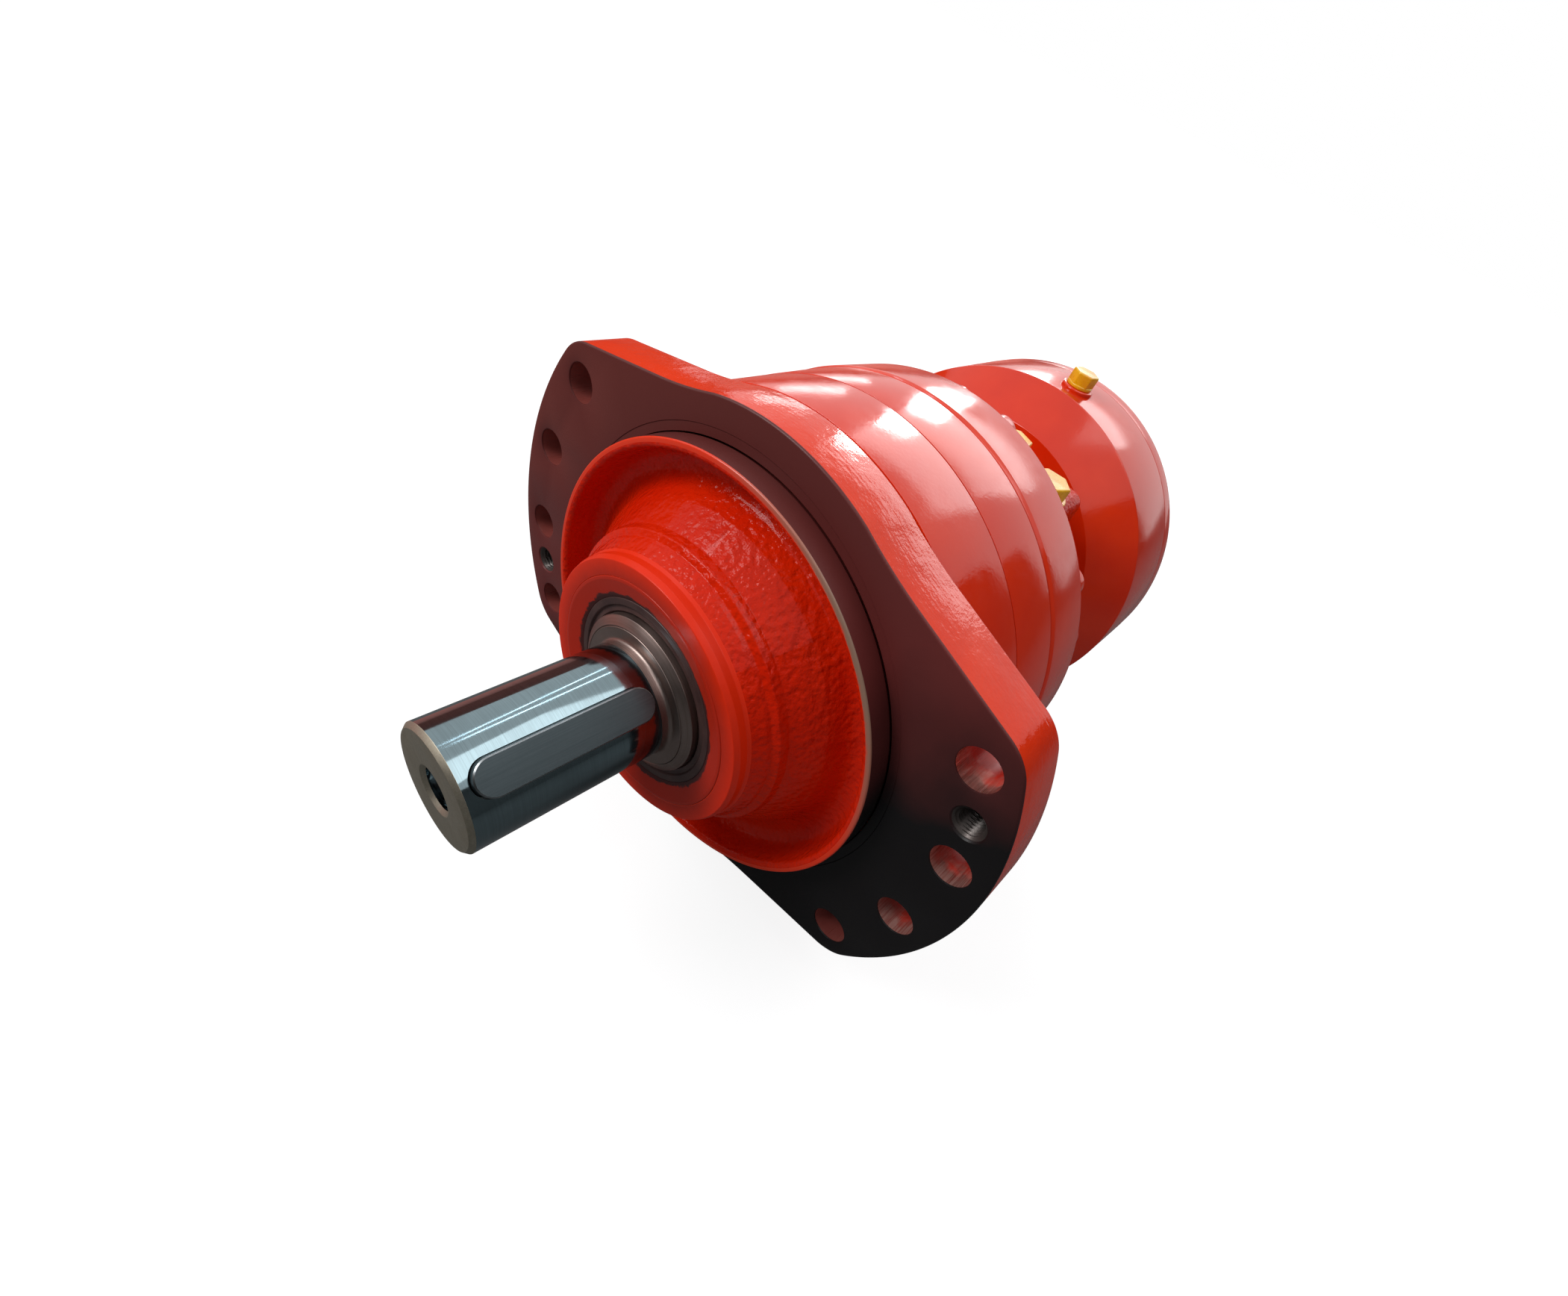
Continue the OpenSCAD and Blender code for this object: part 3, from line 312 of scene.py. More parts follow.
def join(objects, name):
    """One object out of several plain meshes, with their finishes kept."""
    finishes = []
    bm = bmesh.new()
    for obj in objects:
        names = [m.name for m in obj.data.materials]
        finishes += [n for n in names if n not in finishes]
        start = len(bm.faces)
        bm.from_mesh(obj.data)
        bm.faces.ensure_lookup_table()
        for face in bm.faces[start:]:
            face.material_index = finishes.index(names[face.material_index])
        bpy.data.objects.remove(obj)
    mesh = bpy.data.meshes.new(name)
    bm.to_mesh(mesh)
    bm.free()
    for finish in finishes:
        mesh.materials.append(bpy.data.materials[finish])
    obj = bpy.data.objects.new(name, mesh)
    bpy.context.scene.collection.objects.link(obj)
    return obj


# Materials

NOISE = "ShaderNodeTexNoise"
RANGE = "ShaderNodeMapRange"
MATH = "ShaderNodeMath"
VECTOR = "ShaderNodeVectorMath"
MIX = "ShaderNodeMix"
# Sockets by number: a range has its value, from low, from high, to low and to high. A colour mix has its
# factor at 0 and its colours at 6 and 7


def ink(hex_colour):
    """An sRGB hex value as linear red, green, blue and alpha."""
    parts = [int(hex_colour[i:i + 2], 16) / 255 for i in (1, 3, 5)]
    return tuple(c / 12.92 if c <= 0.04045 else ((c + 0.055) / 1.055) ** 2.4 for c in parts) + (1.0,)


def put(tree, kind, inputs=(), **settings):
    """Adds a node with its settings, then its values and links, by socket name or in socket order."""
    node = tree.nodes.new(kind)
    for key, value in settings.items():
        setattr(node, key, value)
    for key, value in inputs.items() if isinstance(inputs, dict) else enumerate(inputs):
        if isinstance(value, bpy.types.NodeSocket):
            tree.links.new(value, node.inputs[key])
        else:
            node.inputs[key].default_value = value
    return node


def new_finish(name, **sockets):
    """A material with one Principled shader. Returns its tree, its shader and its object coordinates."""
    material = bpy.data.materials.new(name)
    material.use_nodes = True
    tree = material.node_tree
    tree.nodes.clear()
    shader = put(tree, "ShaderNodeBsdfPrincipled", {k.replace("_", " "): v for k, v in sockets.items()})
    put(tree, "ShaderNodeOutputMaterial", [shader.outputs[0]])
    place = put(tree, "ShaderNodeTexCoord").outputs["Object"]
    return tree, shader, place


def wear(tree, shader, colour, rough, layers):
    """Links the colour and roughness, and stacks bumps of (height, strength, depth in millimetres)."""
    tree.links.new(colour, shader.inputs["Base Color"])
    tree.links.new(rough, shader.inputs["Roughness"])
    normal = put(tree, "ShaderNodeNewGeometry").outputs["Normal"]
    for height, strength, depth in layers:
        sockets = {"Height": height, "Strength": strength, "Distance": depth * MM, "Normal": normal}
        normal = put(tree, "ShaderNodeBump", sockets).outputs[0]
    tree.links.new(normal, shader.inputs["Normal"])


def from_axis(tree, place):
    """Distance from the shaft axis, in metres."""
    across = put(tree, VECTOR, [place, (0, 1, 1)], operation="MULTIPLY").outputs[0]
    return put(tree, VECTOR, [across], operation="LENGTH").outputs["Value"]


def enamel(name, light, dark, peel, rough=(0.1, 0.18), cast=0.0, rings=0.0, sag=0.0, coat=0.0, gloss=0.5):
    """Sprayed alkyd enamel on iron.

    Depths in millimetres: peel of the spray's orange peel, cast of the sand surface under it, rings of the
    lathe's ridges and sag of the paint's runs.
    """
    sockets = {"Specular_IOR_Level": gloss, "Coat_Weight": coat, "Coat_Roughness": 0.05, "Coat_IOR": 1.5}
    tree, shader, place = new_finish(name, Metallic=0.0, IOR=1.5, **sockets)
    cloud = put(tree, NOISE, {"Vector": place, "Scale": PER_MM / 38, "Detail": 3.0}).outputs[0]
    mottle = put(tree, NOISE, {"Vector": place, "Scale": PER_MM / 6}).outputs[0]
    shade = put(tree, RANGE, [cloud, 0.35, 0.65, 0.0, 1.0]).outputs[0]
    speck = put(tree, RANGE, [mottle, 0.3, 0.75, 0.0, 0.12]).outputs[0]
    tone = put(tree, MIX, {0: shade, 6: ink(light), 7: ink(dark)}, data_type="RGBA").outputs[2]
    tone = put(tree, MIX, {0: speck, 6: tone, 7: ink(dark)}, data_type="RGBA").outputs[2]
    dull = put(tree, RANGE, [mottle, 0.3, 0.7, *rough]).outputs[0]
    layers = []
    if cast:
        lumps = put(tree, NOISE, {"Vector": place, "Scale": PER_MM / 5.76, "Detail": 3.0, "Roughness": 0.6})
        sockets = {"Vector": place, "Scale": PER_MM / 2.4}
        grit = put(tree, "ShaderNodeTexVoronoi", sockets, feature="SMOOTH_F1")
        layers += [(lumps.outputs[0], 0.8, cast * 1.6), (grit.outputs["Distance"], 0.6, cast)]
    if rings:
        drawn = put(tree, "ShaderNodeMapping", {"Vector": place, "Scale": (1, 0.02, 0.02)}).outputs[0]
        lines = put(tree, NOISE, {"Vector": drawn, "Scale": PER_MM / 1.1, "Detail": 1.0})
        layers.append((lines.outputs[0], 0.7, rings))
    if sag:
        runs = put(tree, NOISE, {"Vector": place, "Scale": PER_MM / 9, "Detail": 1.0})
        layers.append((runs.outputs[0], 0.7, sag))
    fine = put(tree, NOISE, {"Vector": place, "Scale": PER_MM / 1.7, "Roughness": 0.55})
    layers.append((fine.outputs[0], 0.7, peel))
    wear(tree, shader, tone, dull, layers)


def bright_steel(name, tint, dark, rough, ring_mm=0.35, depth=0.01, stretch=(1, 0.01, 0.01), stain=0.35):
    """Turned or ground steel: fine rings round the axis, or streaks where stretch says so, with an oily film.

    They are drawn coarser than a tool's real marks of about 0.1 mm, so that they show.
    """
    tree, shader, place = new_finish(name, Metallic=1.0)
    drawn = put(tree, "ShaderNodeMapping", {"Vector": place, "Scale": stretch}).outputs[0]
    rings = put(tree, NOISE, {"Vector": drawn, "Scale": PER_MM / ring_mm, "Roughness": 0.6}).outputs[0]
    sockets = {"Vector": place, "Scale": PER_MM / 14, "Detail": 4.0, "Roughness": 0.6}
    film = put(tree, NOISE, sockets).outputs[0]
    ringed = put(tree, RANGE, [rings, 0.3, 0.7, 0.0, 0.5]).outputs[0]
    stained = put(tree, RANGE, [film, 0.45, 0.75, 0.0, stain]).outputs[0]
    tone = put(tree, MIX, {0: ringed, 6: ink(tint), 7: ink(dark)}, data_type="RGBA").outputs[2]
    tone = put(tree, MIX, {0: stained, 6: tone, 7: ink(dark)}, data_type="RGBA").outputs[2]
    dull = put(tree, RANGE, [film, 0.3, 0.7, *rough]).outputs[0]
    wear(tree, shader, tone, dull, [(rings, 0.5, depth)])


def plain_finish(name, light, dark, rough, metallic=0.0, grain_mm=0.8, depth=0.02, coat=0.0, **sockets):
    """A moulded, machined or oxidised surface with a fine even grain."""
    sockets.update(Metallic=metallic, Coat_Weight=coat, Coat_Roughness=0.12)
    tree, shader, place = new_finish(name, **sockets)
    fine = put(tree, NOISE, {"Vector": place, "Scale": PER_MM / grain_mm}).outputs[0]
    cloud = put(tree, NOISE, {"Vector": place, "Scale": PER_MM / 12, "Detail": 3.0}).outputs[0]
    shade = put(tree, RANGE, [cloud, 0.35, 0.65, 0.0, 1.0]).outputs[0]
    tone = put(tree, MIX, {0: shade, 6: ink(light), 7: ink(dark)}, data_type="RGBA").outputs[2]
    dull = put(tree, RANGE, [fine, 0.3, 0.7, rough - 0.05, rough + 0.07]).outputs[0]
    wear(tree, shader, tone, dull, [(fine, 0.6, depth)])


def ragged_radius(tree, place, size_mm, wobble_mm):
    """Distance from the shaft axis, in metres, made ragged by a noise."""
    rag = put(tree, NOISE, {"Vector": place, "Scale": PER_MM / size_mm, "Detail": 4.0, "Roughness": 0.65})
    wobble = put(tree, RANGE, [rag.outputs[0], 0.3, 0.7, -wobble_mm * MM, wobble_mm * MM]).outputs[0]
    return put(tree, MATH, [from_axis(tree, place), wobble], operation="ADD").outputs[0]


def masked_ring(name, inside, outside, edge_mm, wobble_mm, soft_mm, rough_in, rough_out):
    """Paint that ends on a ragged line at a radius from the axis, where a mask or a cloth kept it off."""
    tree, shader, place = new_finish(name, Metallic=0.0, Specular_IOR_Level=0.2)
    radius = ragged_radius(tree, place, 7, wobble_mm)
    starts = (edge_mm - soft_mm) * MM
    ends = (edge_mm + soft_mm) * MM
    fac = put(tree, RANGE, [radius, starts, ends, 0.0, 1.0]).outputs[0]
    tone = put(tree, MIX, {0: fac, 6: ink(inside), 7: ink(outside)}, data_type="RGBA").outputs[2]
    dull = put(tree, RANGE, [fac, 0.0, 1.0, rough_in, rough_out]).outputs[0]
    fine = put(tree, NOISE, {"Vector": place, "Scale": PER_MM / 1.7}).outputs[0]
    wear(tree, shader, tone, dull, [(fine, 0.6, 0.04)])


def drilled_wall(name, bright, dark, paint, film):
    """Drilled iron with streaks along the bore, paint that blew in from the back, and a darker red-brown tone
    low and left.

    The streaks are drawn coarser than a drill's real marks of about 0.2 mm, so that they show.
    """
    tree, shader, place = new_finish(name)
    drawn = put(tree, "ShaderNodeMapping", {"Vector": place, "Scale": (0.05, 1, 1)}).outputs[0]
    streak = put(tree, NOISE, {"Vector": drawn, "Scale": PER_MM / 0.9, "Roughness": 0.6}).outputs[0]
    cloud = put(tree, NOISE, {"Vector": place, "Scale": PER_MM / 5, "Detail": 3.0}).outputs[0]
    streaked = put(tree, RANGE, [streak, 0.3, 0.7, 0.0, 1.0]).outputs[0]
    drift = put(tree, RANGE, [cloud, 0.3, 0.7, -4 * MM, 4 * MM]).outputs[0]
    along = put(tree, "ShaderNodeSeparateXYZ", [place]).outputs[0]
    depth = put(tree, MATH, [along, drift], operation="ADD").outputs[0]
    painted = put(tree, RANGE, [depth, -13 * MM, -4 * MM, 1.0, 0.0]).outputs[0]
    # Darker red-brown tone on the holes that lie low and left
    lean = put(tree, VECTOR, [place, (0, 0.6, 0.8)], operation="DOT_PRODUCT").outputs["Value"]
    darker_low_left = put(tree, RANGE, [lean, 10 * MM, 120 * MM, 1.0, 0.0]).outputs[0]
    tone = put(tree, MIX, {0: streaked, 6: ink(bright), 7: ink(dark)}, data_type="RGBA").outputs[2]
    tone = put(tree, MIX, {0: painted, 6: tone, 7: ink(paint)}, data_type="RGBA").outputs[2]
    tone = put(tree, MIX, {0: darker_low_left, 6: tone, 7: ink(film)}, data_type="RGBA").outputs[2]
    covered = put(tree, MATH, [painted, darker_low_left], operation="MAXIMUM").outputs[0]
    bare = put(tree, MATH, [0.9, covered], operation="SUBTRACT", use_clamp=True).outputs[0]
    tree.links.new(bare, shader.inputs["Metallic"])
    dull = put(tree, RANGE, [streak, 0.3, 0.7, 0.26, 0.36]).outputs[0]
    wear(tree, shader, tone, dull, [(streak, 0.5, 0.02)])


def worn_rim(name, paint, film, edge_mm, centre_deg):
    """Paint worn to a film outside a radius, most on the side at centre_deg from +Y towards +Z."""
    tree, shader, place = new_finish(name, Metallic=0.0)
    radius = ragged_radius(tree, place, 5, 0.5)
    outside = put(tree, RANGE, [radius, (edge_mm - 0.9) * MM, (edge_mm + 0.9) * MM, 0.0, 1.0]).outputs[0]
    towards = (0, *polar(1, math.radians(centre_deg)))
    along = put(tree, VECTOR, [place, towards], operation="DOT_PRODUCT").outputs["Value"]
    side = put(tree, RANGE, [along, 60 * MM, 98 * MM, 0.0, 1.0]).outputs[0]
    worn = put(tree, MATH, [outside, side], operation="MULTIPLY").outputs[0]
    tone = put(tree, MIX, {0: worn, 6: ink(paint), 7: ink(film)}, data_type="RGBA").outputs[2]
    dull = put(tree, RANGE, [worn, 0.0, 1.0, 0.28, 0.42]).outputs[0]
    fine = put(tree, NOISE, {"Vector": place, "Scale": PER_MM / 1.7}).outputs[0]
    wear(tree, shader, tone, dull, [(fine, 0.6, 0.04)])


def guard_with_painted_reflection(name, upper, middle, lower):
    """Rust guard with a painted reflection: red-brown on the upper left, fading across the face to a painted
    black reflection.
    """
    tree, shader, place = new_finish(name, Metallic=0.0, Specular_IOR_Level=0.25)
    lean = put(tree, VECTOR, [place, (0, -0.6, 0.8)], operation="DOT_PRODUCT").outputs["Value"]
    cloud = put(tree, NOISE, {"Vector": place, "Scale": PER_MM / 30, "Detail": 3.0}).outputs[0]
    reflection_wobble = put(tree, RANGE, [cloud, 0.3, 0.7, -8 * MM, 8 * MM]).outputs[0]
    drift = put(tree, MATH, [lean, reflection_wobble], operation="ADD").outputs[0]
    # Painted reflection: maroon towards the upper left, near black towards the lower right
    high = put(tree, RANGE, [drift, 10 * MM, 110 * MM, 0.0, 1.0]).outputs[0]
    low = put(tree, RANGE, [drift, -45 * MM, 20 * MM, 1.0, 0.0]).outputs[0]
    tone = put(tree, MIX, {0: high, 6: ink(middle), 7: ink(upper)}, data_type="RGBA").outputs[2]
    tone = put(tree, MIX, {0: low, 6: tone, 7: ink(lower)}, data_type="RGBA").outputs[2]
    fine = put(tree, NOISE, {"Vector": place, "Scale": PER_MM / 0.6}).outputs[0]
    dull = put(tree, RANGE, [fine, 0.3, 0.7, 0.34, 0.46]).outputs[0]
    wear(tree, shader, tone, dull, [(fine, 0.6, 0.01)])


# Machined and sprayed: smooth, with a wet gloss
enamel("red_enamel_machined", "#DE3208", "#D42A06", 0.05)
# The brake's parts took a thicker coat, with a wetter gloss
enamel("red_enamel_drum", "#DE3208", "#D42A06", 0.04, (0.1, 0.16))
# Sand cast neck and dish: lumps and grit show through the coat and break up its shine. The grit is drawn at
# 2.4 mm, coarser than real sand of 0.5 mm, so that it shows from the photograph's distance
enamel("red_enamel_cast", "#D02404", "#C61C02", 0.12, (0.14, 0.24), cast=0.9, coat=0.14, gloss=0.08)
# The flange's edge band kept its lathe and mill ridges, and the paint ran there
enamel("red_enamel_ridged", "#E2360A", "#D82E08", 0.16, rings=0.09, sag=0.5, gloss=0.4)
# Turned hub face with a thin dusty coat
masked_ring("red_enamel_hub_face", "#B02410", "#DC2A08", 55.0, 0.8, 4.0, 0.42, 0.32)
# Seal carrier: paint wiped away round the dark seal
masked_ring("red_enamel_carrier", "#4A2220", "#B02410", 43.6, 1.1, 0.35, 0.35, 0.3)
# Pilot rim: paint worn to a grey-brown film at its outer edge, on the side that a strap rubbed
worn_rim("red_enamel_rim", "#DC3008", "#8A6A58", 97.8, 50.0)
# Flange face and pilot side: dark rust guard, with a painted reflection that is red-brown above and fades to
# black below
guard_with_painted_reflection("maroon_guard_satin", "#562421", "#642826", "#141112")
# Hole walls: bright drilled iron near the face, red overspray deeper in, a darker red-brown tone on the lower
# ones
drilled_wall("drilled_iron", "#DCB4A8", "#94564C", "#C8260C", "#743630")
# Ground shaft under oil: a cool mirror that draws lamps out into long lines
bright_steel("ground_shaft_steel", "#82949A", "#6C7A7E", (0.06, 0.12), depth=0.0015)
# Faced shaft end: dull warm grey, with streaks from the facing tool
bright_steel("shaft_end_steel", "#B4AC9C", "#8E8676", (0.42, 0.55), 0.5, 0.03, (0.05, 1, 1), 0.6)
# Seal's running sleeve and the shoulder beside it: turned, with a brownish film
bright_steel("sleeve_steel", "#9E8C86", "#76665F", (0.34, 0.46), 0.4, 0.012)
# Key: drawn bar, darker than the shaft and streaked along its length
bright_steel("key_steel", "#5C666A", "#4C5659", (0.3, 0.4), 0.6, 0.01, (0.02, 1, 1), 0.5)
# Hardened and ground rollers, races and cam track: a clean, bright shine
bright_steel("bearing_steel", "#A8A9A8", "#8C8D8C", (0.16, 0.24))
# Turned steel inside the motor, in the centre hole and on the key's chamfer: a soft grey sheen
bright_steel("machined_steel", "#8E9294", "#74787A", (0.3, 0.42))
# Blackened screws and discs: near black, with a faint oily shine
plain_finish("black_oxide_steel", "#2A2A2C", "#1E1E20", 0.42, 0.9, 0.5)
# Machined grey iron: dull and slightly open in grain
plain_finish("machined_iron", "#5A5D60", "#484B4E", 0.45, 0.85, 0.9)
# Threads cut in the painted casting: dark iron, with overspray in them
plain_finish("threaded_iron", "#544A47", "#3C3633", 0.35, 0.5, 0.6)
# Moulded nitrile seal: dark brown, with overspray dust on it
plain_finish("seal_nitrile", "#48302C", "#382220", 0.45, 0.0, 0.5)
# Sintered bronze lining: matt brown and visibly grainy
plain_finish("sintered_bronze", "#8A6440", "#6E4E30", 0.6, 0.7, 0.5, 0.04)
# Moulded polythene plugs: waxy yellow, with a little light let through
plain_finish("yellow_polythene", "#F2B80E", "#E29C08", 0.3, 0.0, 1.2, 0.03, 0.3,
             Subsurface_Weight=0.08, Subsurface_Scale=0.004)

CAD_FINISH = {
    "red_paint": "red_enamel_machined", "bare_steel": "machined_steel", "bearing_steel": "bearing_steel",
    "black_steel": "black_oxide_steel", "block_iron": "machined_iron", "seal_rubber": "seal_nitrile",
    "friction_bronze": "sintered_bronze", "yellow_plastic": "yellow_polythene",
}
for part in frame["record"]["subparts"]:
    for slot in frame["nodes"][part["node"]].material_slots:
        slot.material = bpy.data.materials[CAD_FINISH[part["material_slot"]]]


# Casting with the flange and the nose

def flange_outline():
    """The flange's edge: end arc, corner, straight side and the blend into the waist, mirrored four ways."""
    reach = math.sqrt((FLANGE_R - CORNER_R) ** 2 - (FLANGE_SIDE - CORNER_R) ** 2)
    side = math.radians(90 - FLANGE_LEAN)
    corner = side - math.atan2(reach, FLANGE_SIDE - CORNER_R)
    centre = polar(FLANGE_R - CORNER_R, corner)
    waist = side - math.acos(FLANGE_SIDE / BODY_R)
    join_angle = waist + WAIST_BLEND / BODY_R
    quarter = [polar(FLANGE_R, corner * i / 48) for i in range(49)]
    quarter += [centre + polar(CORNER_R, corner + (side - corner) * i / 19) for i in range(1, 20)]
    start = quarter[-1]
    end = polar(BODY_R, waist)
    leave = end + (start - end).normalized() * WAIST_BLEND
    meet = polar(BODY_R, join_angle)
    quarter += [start.lerp(leave, i / 26) for i in range(1, 27)]
    quarter += [leave.lerp(end, i / 12).lerp(end.lerp(meet, i / 12), i / 12) for i in range(1, 13)]
    quarter += [polar(BODY_R, join_angle + (math.pi / 2 - join_angle) * i / 30) for i in range(1, 31)]
    half = quarter + [Vector((-p.x, p.y)) for p in reversed(quarter[:-1])]
    return half + [-p for p in half[1:-1]]


def on_hole_circle(degrees):
    return polar(HOLE_CIRCLE, math.radians(degrees))


def flange_plate():
    """The flange with its fixing holes, spot faces, jacking holes and the shallow ring round the pilot."""
    finishes = ["red_enamel_ridged", "maroon_guard_satin", "drilled_iron", "red_enamel_machined"]
    wall, face, drilled, back = range(4)
    edge = edge_arc(1.0)
    outline = [(d, -FLANGE_T + h, wall) for d, h in edge] + [(d, -h, face) for d, h in reversed(edge)]
    spot = SPOT_R - HOLE_D / 2
    spot_x = -FLANGE_T + SPOT_DEPTH
    fixing = [
        (spot + 0.4, -FLANGE_T, back), (spot, spot_x, back), (0.3, spot_x, drilled),
        (0, spot_x + 0.3, drilled), (0, -0.7, face), (0.2, -0.2, face), (0.7, 0, face),
    ]
    jacking = [(0.6, -FLANGE_T, face), (0, -FLANGE_T + 0.6, face), (0, -0.6, face), (0.6, 0, face)]
    ring = SCRIBE_R - PILOT_R
    pilot = [(0, -FLANGE_T, back), (0, -0.25, face), (ring - 0.8, -0.25, face), (ring - 0.5, 0, face)]
    holes = [(circle_loop(HOLE_D / 2, *on_hole_circle(a), 64), fixing) for a in HOLE_ANGLES]
    holes += [(circle_loop(JACK_MOUTH_R, *on_hole_circle(a), 64), jacking) for a in JACK_ANGLES]
    holes.append((circle_loop(PILOT_R + 0.5, count=320), pilot))
    bm = bmesh.new()
    plate(bm, (flange_outline(), outline), holes, across_shaft, (back, face))
    return as_object("flange_plate", bm, finishes)


def thread_sleeve(name, radii, pitch, near, far, finish):
    """A closed sleeve along X with a screw thread inside, from far, where its mouth is, back to near.

    radii are those of the thread's core, its roots, its mouth and the sleeve's outside.
    """
    core_r, major_r, mouth_r, outer_r = radii
    steps_per_turn = 6
    count = round((far - near) / pitch * steps_per_turn)

    def threaded(angle, radius, x):
        if radius > core_r + 0.01:
            return radius
        saw = (x / pitch + angle / (2 * math.pi)) % 1.0
        crest = core_r + (major_r - core_r) * (1 - abs(2 * saw - 1))
        return max(crest, mouth_r - (far - x))

    inner = [(core_r, far - (far - near) * k / count, finish) for k in range(count + 1)]
    bm = bmesh.new()
    spin_profile(bm, [(outer_r, near, finish), (outer_r, far, finish)] + inner, [finish], 60, threaded)
    return as_object(name, bm, [finish], 50)


def jacking_thread(degrees):
    y, z = on_hole_circle(degrees)
    radii = (JACK_CORE_R, JACK_MAJOR_R, JACK_MOUTH_R, JACK_MOUTH_R + 0.15)
    sleeve = thread_sleeve("jacking_thread", radii, JACK_PITCH, -FLANGE_T + 0.7, -0.65, "threaded_iron")
    sleeve.data.transform(Matrix.Translation((0, y * MM, z * MM)))
    return sleeve


def nose_casting():
    """Pilot rim, dish, neck and hub in front, and the bearing seats and body seam behind."""
    finishes = ["red_enamel_cast", "maroon_guard_satin", "red_enamel_rim"]
    finishes += ["red_enamel_machined", "red_enamel_hub_face"]
    rim_in = PILOT_R - RIM_W
    points = [
        (PILOT_R - 1.6, -FLANGE_T + 0.5, "maroon_guard_satin"), (PILOT_R - 1.6, -0.6, 0.3),
        (PILOT_R, 0.3, 0.3), (PILOT_R, PILOT_H, 0.8, "red_enamel_rim"),
        (rim_in, PILOT_H, 2.4, "red_enamel_cast"),
        (rim_in - 2.4, -4, 7), (82, -4, 10), (76.5, 6.4, 6), (67.4, 18.6, 1.6), (66.6, 22.8, 1.2),
        (63.8, 24.4, 0.8), (63.2, 26.4, 0.8), (60.2, HUB_H - 7.4, 1.0, "red_enamel_hub_face"),
        (HUB_R, HUB_H - 6, 0.8), (HUB_R, HUB_H - 2.6, 0.4), (58.3, HUB_H, 0.5),
        (CARRIER_R + 0.05, HUB_H, 0.3, "red_enamel_machined"), (CARRIER_R + 0.05, 19), (50.02, 19),
        (50.02, -8), (44, -8), (44, -24), (55.02, -24), (55.02, -48), (58, -48), (58, -58.5), (80, -58.5),
        (80, SUPPORT_REAR), (BODY_R - 1.4, SUPPORT_REAR), (BODY_R - 1.4, SUPPORT_REAR + SEAM),
        (BODY_R - 0.1, SUPPORT_REAR + SEAM, 0.2), (BODY_R - 0.1, -FLANGE_T - SEAM, 0.2),
        (BODY_R - 1.2, -FLANGE_T - SEAM), (BODY_R - 1.2, -FLANGE_T + 0.5),
    ]
    return turned("nose_casting", points, finishes, sides=320, steps=6)


threads = [jacking_thread(a) for a in JACK_ANGLES]
casting = join([flange_plate(), nose_casting()] + threads, "flange_and_nose_casting")
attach(casting, "housing")
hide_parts("bearing_support")


# Cam ring, valve cover and brake housing

def cam_track(angle):
    """Radius of the lobed track at an angle: the rollers' path moved outwards by the roller's radius."""
    wanted = angle - CAM_PHASE
    a = wanted
    for _ in range(6):
        r = CAM_MID_R + CAM_LIFT * math.cos(CAM_LOBES * a)
        slope = -CAM_LIFT * CAM_LOBES * math.sin(CAM_LOBES * a)
        outwards = Vector((r * math.cos(a) + slope * math.sin(a), r * math.sin(a) - slope * math.cos(a)))
        p = polar(r, a) + outwards * (ROLLER_R / math.hypot(r, slope))
        error = math.atan2(p.y, p.x) - wanted
        a -= (error + math.pi) % (2 * math.pi) - math.pi
    return p.length


def cam_shape(angle, radius, x):
    return cam_track(angle) if radius < 90 else radius


def cam_ring_shell():
    """Painted outside with a seam groove, and the ground lobed track inside."""
    finishes = ["red_enamel_machined", "bearing_steel"]
    seam_x = CAM_REAR + 1.6 * SEAM
    points = [
        (79, CAM_REAR, "bearing_steel"), (BODY_R - 1.6, CAM_REAR, "red_enamel_machined"),
        (BODY_R - 1.6, seam_x), (BODY_R, seam_x, 0.3), (BODY_R, SUPPORT_REAR, 0.2),
        (79, SUPPORT_REAR, "bearing_steel"),
    ]
    return turned("cam_ring_shell", points, finishes, sides=360, shape=cam_shape)


cam = cam_ring_shell()
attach(cam, "housing")
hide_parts("cam_ring")


def valve_cover_body():
    """Tapering cover behind the cam ring and the neck that leads to the brake."""
    points = [
        (27, CAM_REAR, "red_enamel_machined"), (BODY_R - 0.2, CAM_REAR, 0.9),
        (BODY_R + 0.5, CAM_REAR - 2.4, 0.8), (BODY_R + 0.4, CAM_REAR - 5, 1.5),
        (COVER_R, COVER_REAR, 3.2), (NECK_R, COVER_REAR, 4.0),
        (NECK_R, NECK_REAR, 0.6), (23, NECK_REAR), (23, -128.6), (27, -128.6),
    ]
    return turned("valve_cover_body", points, ["red_enamel_machined"], sides=320)


def port_pad():
    """Cast pad that carries the two work ports, with soft edges."""
    ring = rounded([(PAD_LEFT, 20), (PAD_RIGHT, 20), (PAD_RIGHT, PAD_TOP, 7), (PAD_LEFT, PAD_TOP, 7)], 8)
    loop = [Vector((a, b)) for a, b, _ in ring]
    steps = [(d, PAD_REAR + h, 0) for d, h in edge_arc(2.5)] + [(0, COVER_REAR + 1, 0)]
    bm = bmesh.new()
    plate(bm, (loop, steps), [], across_shaft)
    return as_object("port_pad", bm, ["red_enamel_cast"], 40)


cover = join([valve_cover_body(), port_pad()], "valve_cover_casting")
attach(cover, "housing")
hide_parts("valve_cover")


def brake_drum():
    """The drum with its neck, stepped inside for the discs and the piston."""
    shoulder = DRUM_FRONT + 21
    points = [
        (23, NECK_REAR, "red_enamel_drum"), (NECK_R, NECK_REAR, 0.8), (NECK_R, shoulder, 9),
        (86, shoulder, 0.8), (DRUM_R, DRUM_FRONT, 1.4), (DRUM_R, DRUM_REAR, 0.6), (95.05, DRUM_REAR),
        (95.05, -250.7),
        (87.05, -250.7), (87.05, -242.7), (79.5, -242.7), (79.5, -222), (66, -222), (66, -198), (23, -198),
    ]
    return turned("brake_housing_drum", points, ["red_enamel_drum"], sides=320)


